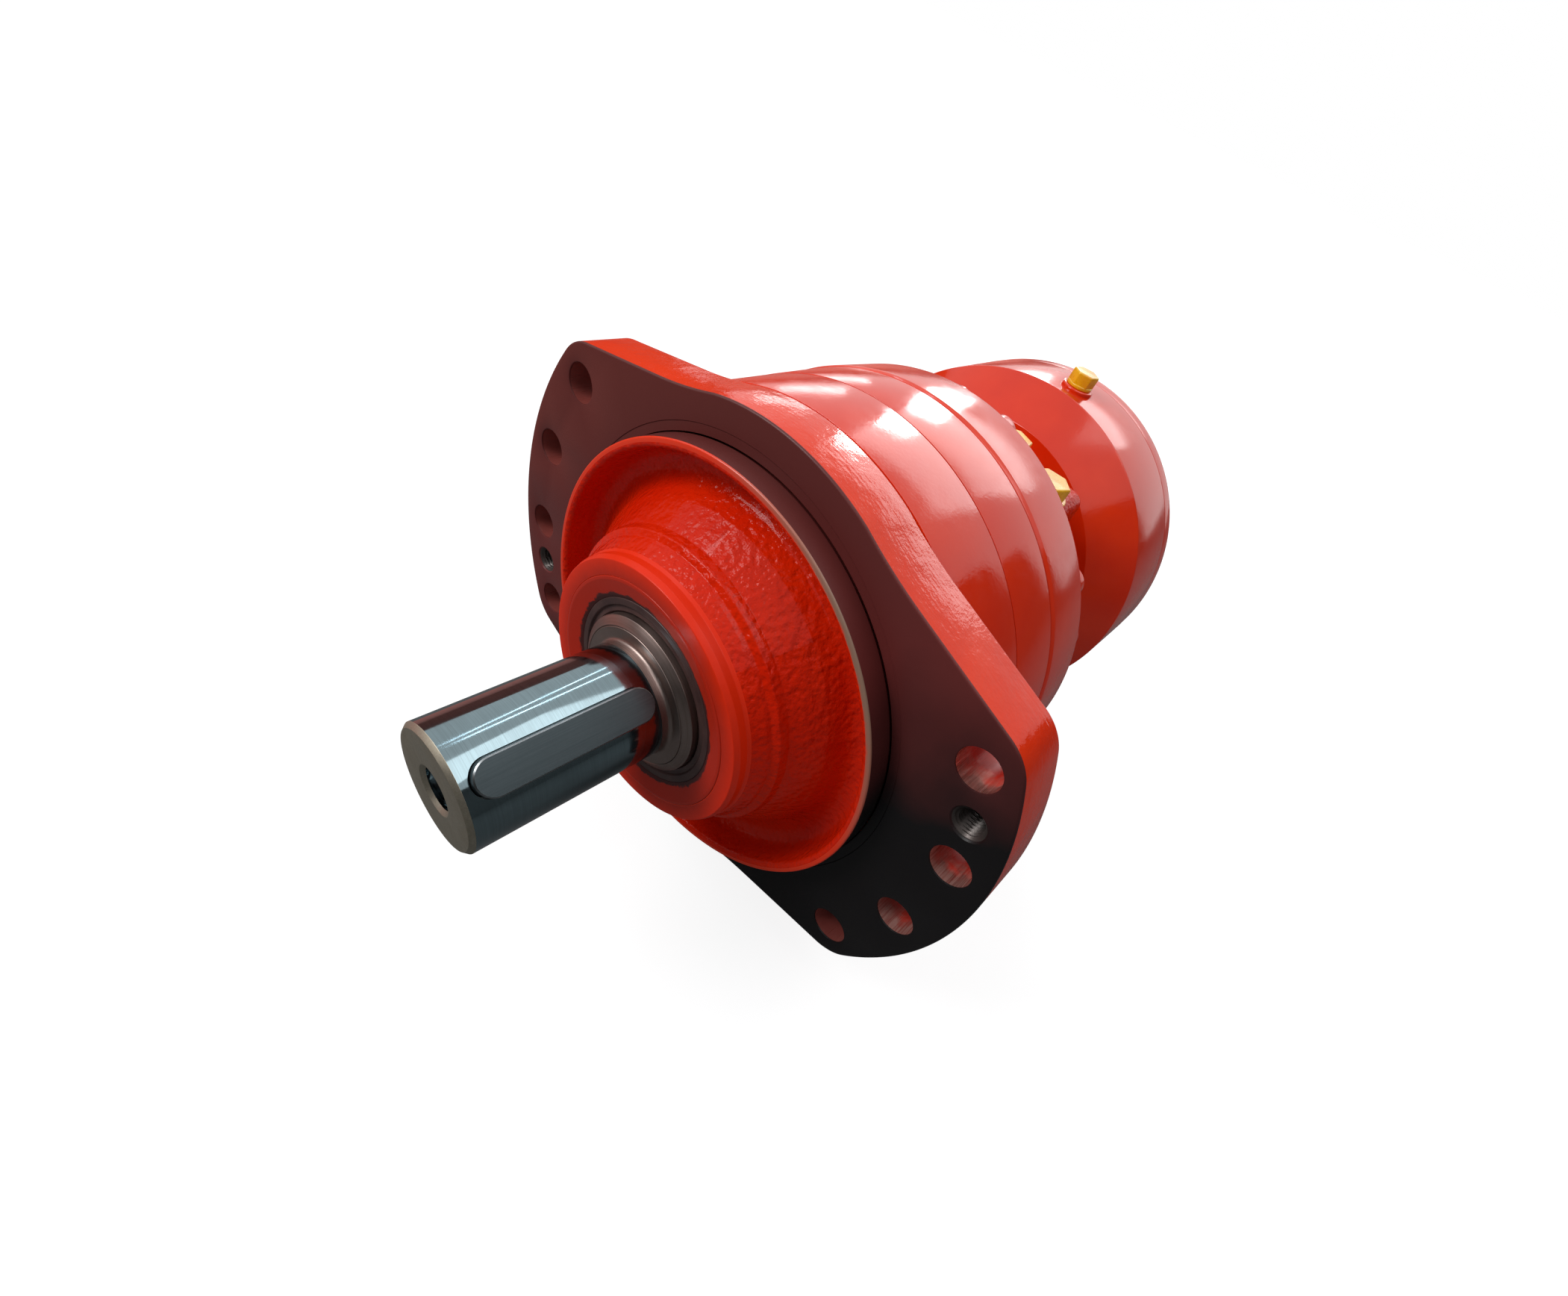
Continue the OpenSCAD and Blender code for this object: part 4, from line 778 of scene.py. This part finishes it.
def brake_port_boss():
    """Round boss on top of the drum, under the brake line's plug."""
    top = DRUM_R + BOSS_H
    points = [(0, 96, "red_enamel_drum"), (BOSS_R, 96), (BOSS_R, top, 1.2), (0, top)]
    boss = turned("brake_port_boss", points, ["red_enamel_drum"], sides=64)
    boss.data.transform(Matrix.Translation((BRAKE_PORT_X * MM, 0, 0)) @ UPRIGHT)
    return boss


brake = join([brake_drum(), brake_port_boss()], "brake_drum_casting")
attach(brake, "housing")
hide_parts("brake_housing")


def counterbores(radius, depth):
    """Cutters for the screws of the rear cover, as one mesh."""
    bm = bmesh.new()
    steps = [(0, MOTOR_REAR - 1, 0), (0, MOTOR_REAR + depth, 0)]
    for degrees in range(15, 360, 30):
        place = polar(COVER_SCREW_CIRCLE, math.radians(degrees))
        plate(bm, (circle_loop(radius, *place, 40), steps), [], across_shaft)
    return as_object("counterbore_cutters", bm, ["red_enamel_drum"])


def rear_cover():
    """Rear cover with a turned edge, a shallow recess and counterbores for its screws."""
    edge_r = DRUM_R - 0.2
    points = [
        (0, DRUM_REAR, "red_enamel_drum"), (edge_r - 0.3, DRUM_REAR), (edge_r, DRUM_REAR - 0.8, 0.3),
        (edge_r, MOTOR_REAR, 3.0), (42, MOTOR_REAR, 0.4), (40, MOTOR_REAR + 2, 0.6), (0, MOTOR_REAR + 2),
    ]
    disc = turned("rear_cover", points, ["red_enamel_drum"])
    subtract(disc, counterbores(COVER_BORE_R, COVER_BORE_DEPTH))
    return disc


cover_plate = rear_cover()
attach(cover_plate, "housing")
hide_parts("brake_cover")


# Shaft, key, sleeve and seal

def stadium(length, width, count=24):
    """A key's outline: two half circles and the straight sides between them."""
    half = length / 2 - width / 2
    angles = [math.pi * (i / count - 0.5) for i in range(count + 1)]
    right = [Vector((half, 0)) + polar(width / 2, a) for a in angles]
    return right + [-p for p in right]


def on_key(x, y, h):
    """A point of the key or its keyway, along the shaft, across the key and away from the axis."""
    turn = Matrix.Rotation(math.radians(KEY_ANGLE - 90), 3, "X")
    return turn @ Vector(((x + KEY_END - KEY_LEN / 2) * MM, y * MM, h * MM))


def shaft_piece():
    """The shaft with its keyway, end chamfer, centre hole and the thread in it."""
    finishes = ["ground_shaft_steel", "shaft_end_steel", "machined_steel", "sleeve_steel"]
    points = [
        (0, -62.5, "machined_steel"), (28, -62.5), (28, -48), (30, -48), (30, -24), (32, -24), (32, -8),
        (32.5, -8), (32.5, 15), (37, 15), (37, 20), (SHOULDER_R, 20, "sleeve_steel"),
        (SHOULDER_R, SHOULDER_X, 0.4), (SHAFT_R, SHOULDER_X, 1.6),
        (SHAFT_R, SHOULDER_X + 4, "ground_shaft_steel"), (SHAFT_R, SHAFT_END - 1.7, 0.2, "shaft_end_steel"),
        (SHAFT_R - 1.7, SHAFT_END, 0.2), (10, SHAFT_END, 0.3), (8.5, SHAFT_END - 1.5, "ground_shaft_steel"),
        (8.5, SHAFT_END - 5), (8.1, SHAFT_END - 5.4), (8.1, SHAFT_END - 36), (0, SHAFT_END - 40),
    ]
    piece = turned("drive_shaft_turned", points, finishes, sides=288, steps=4)
    bm = bmesh.new()
    keyway = [(0, KEY_FLOOR, 0), (0, 40, 0)]
    plate(bm, (stadium(KEY_LEN + 1.0, KEY_W + 0.4), keyway), [], on_key)
    subtract(piece, as_object("keyway_cutter", bm, ["machined_steel"]))
    radii = (6.9, 8.0, 8.0, 8.3)
    thread = thread_sleeve("shaft_end_thread", radii, END_THREAD_PITCH, SHAFT_END - 36.5, SHAFT_END - 5.3,
                           "machined_steel")
    return join([piece, thread], "drive_shaft_turned")


shaft = shaft_piece()
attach(shaft, "shaft")
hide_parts("drive_shaft")


def key_piece():
    """The parallel key with a small edge at its foot and a chamfer round its top."""
    top = KEY_FLOOR + KEY_H
    foot = 0.3
    steps = [(foot, KEY_FLOOR, 0), (0, KEY_FLOOR + foot, 0)]
    steps += [(0, top - KEY_CHAMFER, 1), (KEY_CHAMFER, top, 0)]
    bm = bmesh.new()
    plate(bm, (stadium(KEY_LEN, KEY_W), steps), [], on_key)
    return as_object("parallel_key", bm, ["key_steel", "machined_steel"])


key = key_piece()
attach(key, "shaft")
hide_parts("shaft_key")

sleeve = turned("seal_running_sleeve", [
    (SHOULDER_R + 0.02, 20, "sleeve_steel"), (SLEEVE_R, 20, 0.3), (SLEEVE_R, HUB_H, 0.25),
    (31.4, SHOULDER_X - 0.1, 0.2), (SHOULDER_R + 0.02, SHOULDER_X - 0.5),
], ["sleeve_steel"])
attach(sleeve, "shaft")
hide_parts("seal_sleeve")

seal = turned("shaft_seal_ring", [
    (SEAL_R, 27, "seal_nitrile"), (SEAL_R, 37, 0.5), (SLEEVE_R + 3.6, 37, 0.6), (SLEEVE_R + 2.8, 35.8, 0.4),
    (SLEEVE_R + 0.8, 36.4, 0.3), (SLEEVE_R + 0.1, 35.6, 0.1), (SLEEVE_R + 0.9, 34.6, 0.3),
    (SLEEVE_R + 3, 34), (SLEEVE_R + 3, 32), (SLEEVE_R + 0.9, 31, 0.3), (SLEEVE_R + 0.1, 29.8, 0.1),
    (SLEEVE_R + 1.3, 28, 0.4), (SLEEVE_R + 4, 27),
], ["seal_nitrile"])
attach(seal, "housing")
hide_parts("shaft_seal")

carrier = turned("seal_carrier_ring", [
    (45, 19, "red_enamel_carrier"), (CARRIER_R, 19), (CARRIER_R, 39.2, 0.5), (49.9, 39.2, 0.4),
    (43.3, 37.5, 0.6), (SEAL_R + 0.02, 36.8, 0.3), (SEAL_R + 0.02, 26.6), (39.8, 26.6), (39.8, 21),
], ["red_enamel_carrier"])
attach(carrier, "housing")
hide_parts("seal_carrier")


# Screws

def socket_head_screw(name, shank_r, head_r, head_h, shank_len, finish):
    """A cap screw along +X with its head's underside at x = 0 and a six-sided socket."""
    profile = rounded([
        (0, -shank_len), (shank_r, -shank_len, 0.6), (shank_r, 0), (head_r, 0, 0.3), (head_r, head_h, 1.0),
        (shank_r * 0.98, head_h, 0.4), (shank_r * 0.9, head_h * 0.45), (0, head_h * 0.4),
    ], 4)

    def six_sided(angle, radius, x):
        if radius >= shank_r * 0.95 or x <= 0:
            return radius
        return radius * (0.93 / max(math.cos((angle % (math.pi / 3)) - math.pi / 6), 0.5))

    bm = bmesh.new()
    spin_profile(bm, profile, [finish], 48, six_sided)
    return as_object(name, bm, [finish], 40)


def ring_of_screws(name, screw, values, skip):
    """Screws on a circle round the shaft axis, each turned about itself by chance, made by a node tree.

    values are the tree's named inputs, in metres and radians. No screw stands between skip's two angles.
    """
    tree = bpy.data.node_groups.new(name + "_tree", "GeometryNodeTree")
    tree.interface.new_socket("Geometry", in_out="INPUT", socket_type="NodeSocketGeometry")
    for label, value in values.items():
        kind = "NodeSocketInt" if isinstance(value, int) else "NodeSocketFloat"
        tree.interface.new_socket(label, in_out="INPUT", socket_type=kind)
    tree.interface.new_socket("Geometry", in_out="OUTPUT", socket_type="NodeSocketGeometry")
    given = put(tree, "NodeGroupInput").outputs
    index = put(tree, "GeometryNodeInputIndex").outputs[0]
    step = put(tree, MATH, [2 * math.pi, given["Count"]], operation="DIVIDE").outputs[0]
    walked = put(tree, MATH, [index, step], operation="MULTIPLY").outputs[0]
    angle = put(tree, MATH, [given["First Angle"], walked], operation="ADD").outputs[0]
    cosine = put(tree, MATH, [angle], operation="COSINE").outputs[0]
    sine = put(tree, MATH, [angle], operation="SINE").outputs[0]
    y = put(tree, MATH, [cosine, given["Circle Radius"]], operation="MULTIPLY").outputs[0]
    z = put(tree, MATH, [sine, given["Circle Radius"]], operation="MULTIPLY").outputs[0]
    where = put(tree, "ShaderNodeCombineXYZ", [given["Station"], y, z]).outputs[0]
    line = put(tree, "GeometryNodeMeshLine", {"Count": given["Count"]}).outputs[0]
    placed = put(tree, "GeometryNodeSetPosition", {"Geometry": line, "Position": where}).outputs[0]
    turns = put(tree, MATH, [angle, 2 * math.pi], operation="DIVIDE").outputs[0]
    part_turn = put(tree, MATH, [turns], operation="FRACT").outputs[0]
    past = put(tree, MATH, [part_turn, skip[0] / 360], operation="GREATER_THAN").outputs[0]
    before = put(tree, MATH, [part_turn, skip[1] / 360], operation="LESS_THAN").outputs[0]
    inside = put(tree, MATH, [past, before], operation="MULTIPLY").outputs[0]
    kept = put(tree, "GeometryNodeDeleteGeometry", [placed, inside], domain="POINT").outputs[0]
    # Socket 3 is the largest turn, in radians
    sockets = {"Seed": given["Seed"], 3: 6.2}
    chance = put(tree, "FunctionNodeRandomValue", sockets, data_type="FLOAT").outputs[1]
    spin = put(tree, "ShaderNodeCombineXYZ", [chance]).outputs[0]
    source = put(tree, "GeometryNodeObjectInfo", {"Object": screw}).outputs["Geometry"]
    sockets = {"Points": kept, "Instance": source, "Rotation": spin}
    copies = put(tree, "GeometryNodeInstanceOnPoints", sockets).outputs[0]
    real = put(tree, "GeometryNodeRealizeInstances", {"Geometry": copies}).outputs[0]
    sockets = {"Geometry": real, "Material": screw.data.materials[0]}
    done = put(tree, "GeometryNodeSetMaterial", sockets).outputs[0]
    put(tree, "NodeGroupOutput", {"Geometry": done})
    holder = bpy.data.objects.new(name, bpy.data.meshes.new(name))
    bpy.context.scene.collection.objects.link(holder)
    mod = holder.modifiers.new("screws", "NODES")
    mod.node_group = tree
    for item in tree.interface.items_tree:
        if item.in_out == "INPUT" and item.name in values:
            mod[item.identifier] = values[item.name]
    plain(holder, 40)
    bpy.data.objects.remove(screw)
    return holder


screw = socket_head_screw("housing_screw", SCREW_D / 2, SCREW_D * 0.75, SCREW_D, 92, "red_enamel_machined")
screw.data.transform(Matrix.Rotation(math.pi, 4, "Z"))
screws = ring_of_screws("housing_screw_ring", screw, {
    "Circle Radius": SCREW_CIRCLE * MM, "Count": SCREW_COUNT, "First Angle": math.radians(SCREW_PHASE),
    "Station": COVER_REAR * MM, "Seed": 3,
}, skip=(50, 75))
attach(screws, "housing")
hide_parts("housing_screws")


# Transport plugs

def hex_plug(name, stem_r, stem_len, collar_r, flats, height, seat, spin):
    """A moulded plug: plain stem, round collar and six-sided head, turned by spin degrees on its seat."""
    finish = "yellow_polythene"
    collar_h = 2.0
    bm = bmesh.new()
    spin_profile(bm, rounded([
        (0, -stem_len), (stem_r, -stem_len, 0.6), (stem_r, 0), (collar_r, 0, 0.5),
        (collar_r, collar_h, 0.7), (0, collar_h),
    ], 4), [finish], 64)
    corners = [polar(flats / math.sqrt(3), math.radians(60 * i)) for i in range(6)]
    hexagon = [Vector((a, b)) for a, b, _ in rounded([(p.x, p.y, 1.2) for p in corners], 4)]
    steps = [(0, 1.5, 0)] + [(d, height - h, 0) for d, h in reversed(edge_arc(1.1))]
    plate(bm, (hexagon, steps), [], across_shaft)
    obj = as_object(name, bm, [finish], 40)
    place = Matrix.Translation(Vector(seat) * MM) @ Matrix.Rotation(math.radians(spin), 4, "Z")
    obj.data.transform(place @ UPRIGHT)
    return obj


for label, (px, py), spin in (("a", PORTS[0], 12), ("b", PORTS[1], 40)):
    plug = hex_plug("work_port_plug_" + label, 9.28, 12, 11.9, 18, 9, (px, py, PAD_TOP - 1), spin)
    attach(plug, "housing")
    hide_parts("port_plug_" + label)
plug = hex_plug("brake_line_plug", 4.48, 8, 7.7, 13.5, 8.5, (BRAKE_PORT_X, 0, DRUM_R + BOSS_H), 20)
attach(plug, "housing")
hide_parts("brake_port_plug")


# Studio

def seen_ray(tree):
    """One for what the camera, a mirror or a clear part sees, nought for light that falls on surfaces."""
    paths = put(tree, "ShaderNodeLightPath").outputs
    rays = [paths["Is Camera Ray"], paths["Is Transmission Ray"]]
    direct = put(tree, MATH, rays, operation="MAXIMUM").outputs[0]
    return put(tree, MATH, [direct, paths["Is Glossy Ray"]], operation="MAXIMUM").outputs[0]


def card(name, corners, finish):
    mesh = bpy.data.meshes.new(name)
    mesh.from_pydata(corners, [], [(0, 1, 2, 3)])
    mesh.materials.append(bpy.data.materials[finish])
    obj = bpy.data.objects.new(name, mesh)
    bpy.context.scene.collection.objects.link(obj)
    return obj


def pale_room():
    """A world that lights softly, and looks white to the eye and in mirrors."""
    world = bpy.data.worlds.new("pale_room")
    bpy.context.scene.world = world
    world.use_nodes = True
    tree = world.node_tree
    tree.nodes.clear()
    room = put(tree, "ShaderNodeBackground", [ink("#E8ECF0"), 0.42]).outputs[0]
    white = put(tree, "ShaderNodeBackground", [ink("#FFFFFF"), 1.0]).outputs[0]
    mixed = put(tree, "ShaderNodeMixShader", [seen_ray(tree), room, white]).outputs[0]
    put(tree, "ShaderNodeOutputWorld", [mixed])


def screed_floor():
    """Painted screed: mid grey under the lamps, lifted to a pale tone where the eye or a mirror sees it."""
    tree, shader, place = new_finish("painted_screed_floor", Metallic=0.0, Roughness=0.85,
                                     Emission_Color=ink("#FFFFFF"))
    cloud = put(tree, NOISE, {"Vector": place, "Scale": PER_MM / 60, "Detail": 3.0}).outputs[0]
    shade = put(tree, RANGE, [cloud, 0.3, 0.7, 0.0, 1.0]).outputs[0]
    tone = put(tree, MIX, {0: shade, 6: ink("#8C8C8C"), 7: ink("#888888")}, data_type="RGBA").outputs[2]
    tree.links.new(tone, shader.inputs["Base Color"])
    reach = put(tree, VECTOR, [place], operation="LENGTH").outputs["Value"]
    lift = put(tree, RANGE, [reach, 0.6, 3.0, 0.84, 0.96]).outputs[0]
    glow = put(tree, MATH, [seen_ray(tree), lift], operation="MULTIPLY").outputs[0]
    tree.links.new(glow, shader.inputs["Emission Strength"])
    far = 40
    corners = [(-far, -far, FLOOR_Z), (far, -far, FLOOR_Z), (far, far, FLOOR_Z), (-far, far, FLOOR_Z)]
    floor = card("floor", corners, "painted_screed_floor")


def reflection_cards():
    """Matt card where the workshop and its red-brown floor were dark. Only reflections show it."""
    for name, colour in (("black_card", "#0C0C0C"), ("brown_card", "#B06A60"), ("grey_card", "#5E6060")):
        new_finish(name, Metallic=0.0, Roughness=0.9, Base_Color=ink(colour))
    low = FLOOR_Z + 0.0002
    left_of = [(-9, -9, low), (9, -9, low), (9, -0.3, low), (-9, -0.3, low)]
    right_of = [(-9, -0.3, low), (9, -0.3, low), (9, 9, low), (-9, 9, low)]
    in_front = [(1.3, -2.5, low), (1.3, -2.5, 1.2), (1.3, 2.5, 1.2), (1.3, 2.5, low)]
    beside = [(-3.6, 1.5, low), (1.3, 1.5, low), (1.3, 1.5, 1.5), (-3.6, 1.5, 1.5)]
    leaning = [(-1.35, -1.55, low), (0.4, -1.9, low), (0.4, -1.9, 0.62), (-1.15, -1.55, 0.62)]
    cards = (
        ("card_floor_left", "brown_card", left_of), ("card_floor_right", "grey_card", right_of),
        ("card_in_front", "black_card", in_front), ("card_beside", "grey_card", beside),
        ("card_left", "brown_card", leaning),
    )
    for name, finish, corners in cards:
        dark = card(name, corners, finish)
        dark.visible_camera = dark.visible_diffuse = dark.visible_shadow = False


def photo_camera():
    """The camera fitted to the photograph, as its axes and its place."""
    camera = bpy.data.cameras.new("photo_camera")
    camera.sensor_width = 36.0
    camera.lens = 15.841
    camera.clip_start = 0.01
    right = (-0.6796, 0.65948, 0.32129)
    up = (-0.3451, -0.67384, 0.65329)
    back = (0.6474, 0.33313, 0.68555)
    turn = Matrix((right, up, back)).transposed().to_4x4()
    eye = bpy.data.objects.new("photo_camera", camera)
    eye.matrix_world = Matrix.Translation((0.1767, 0.1231, 0.2292)) @ turn
    bpy.context.scene.collection.objects.link(eye)
    bpy.context.scene.camera = eye


def area_light(name, size, power, colour):
    """A rectangular area light at the origin, linked to the scene."""
    light = bpy.data.lights.new(name, "AREA")
    light.shape = "RECTANGLE"
    light.size, light.size_y = size
    light.energy = power
    light.color = ink(colour)[:3]
    obj = bpy.data.objects.new(name, light)
    bpy.context.scene.collection.objects.link(obj)
    return obj


def lamp(name, azimuth, height, distance, size, power):
    """A soft lamp, in degrees round from +X towards +Y and up from the floor, that shines on the motor."""
    obj = area_light(name, size, power, "#FFFFFF")
    level = polar(math.cos(math.radians(height)), math.radians(azimuth))
    away = Vector((*level, math.sin(math.radians(height))))
    obj.location = Vector((-0.05, 0, 0)) + away * distance
    obj.rotation_euler = (-away).to_track_quat("-Z", "Y").to_euler()


def tube(name, start, end, power):
    """A narrow lighting tube under the ceiling, from start to end, that shines on the motor."""
    start = Vector(start)
    end = Vector(end)
    obj = area_light(name, ((end - start).length, 0.03), power, "#E4F4FF")
    place = (start + end) / 2
    back = place.normalized()
    along = (end - start).normalized()
    along = (along - back * along.dot(back)).normalized()
    turn = Matrix((along, back.cross(along), back)).transposed().to_4x4()
    obj.matrix_world = Matrix.Translation(place) @ turn


FLOOR_Z = cad_low[2] - 0.0003
bpy.context.scene.view_settings.view_transform = "Standard"
pale_room()
screed_floor()
reflection_cards()
photo_camera()
lamp("front_soft", -40, 38, 1.2, (0.5, 0.5), 9)
lamp("overhead_soft", 120, 75, 1.5, (0.9, 0.9), 5)
lamp("wall_behind", -170, 31, 1.6, (0.95, 0.6), 4.6)
lamp("window_behind", -156, 20, 1.7, (0.22, 0.5), 5.5)
lamp("window_left", -138, 10, 1.7, (0.3, 0.2), 0.6)
tube("tube_left", (-1.30, -1.69, 1.6), (-0.22, -0.99, 1.6), 1.4)
tube("tube_right", (-1.00, -0.955, 1.6), (-0.20, -0.76, 1.6), 1.0)
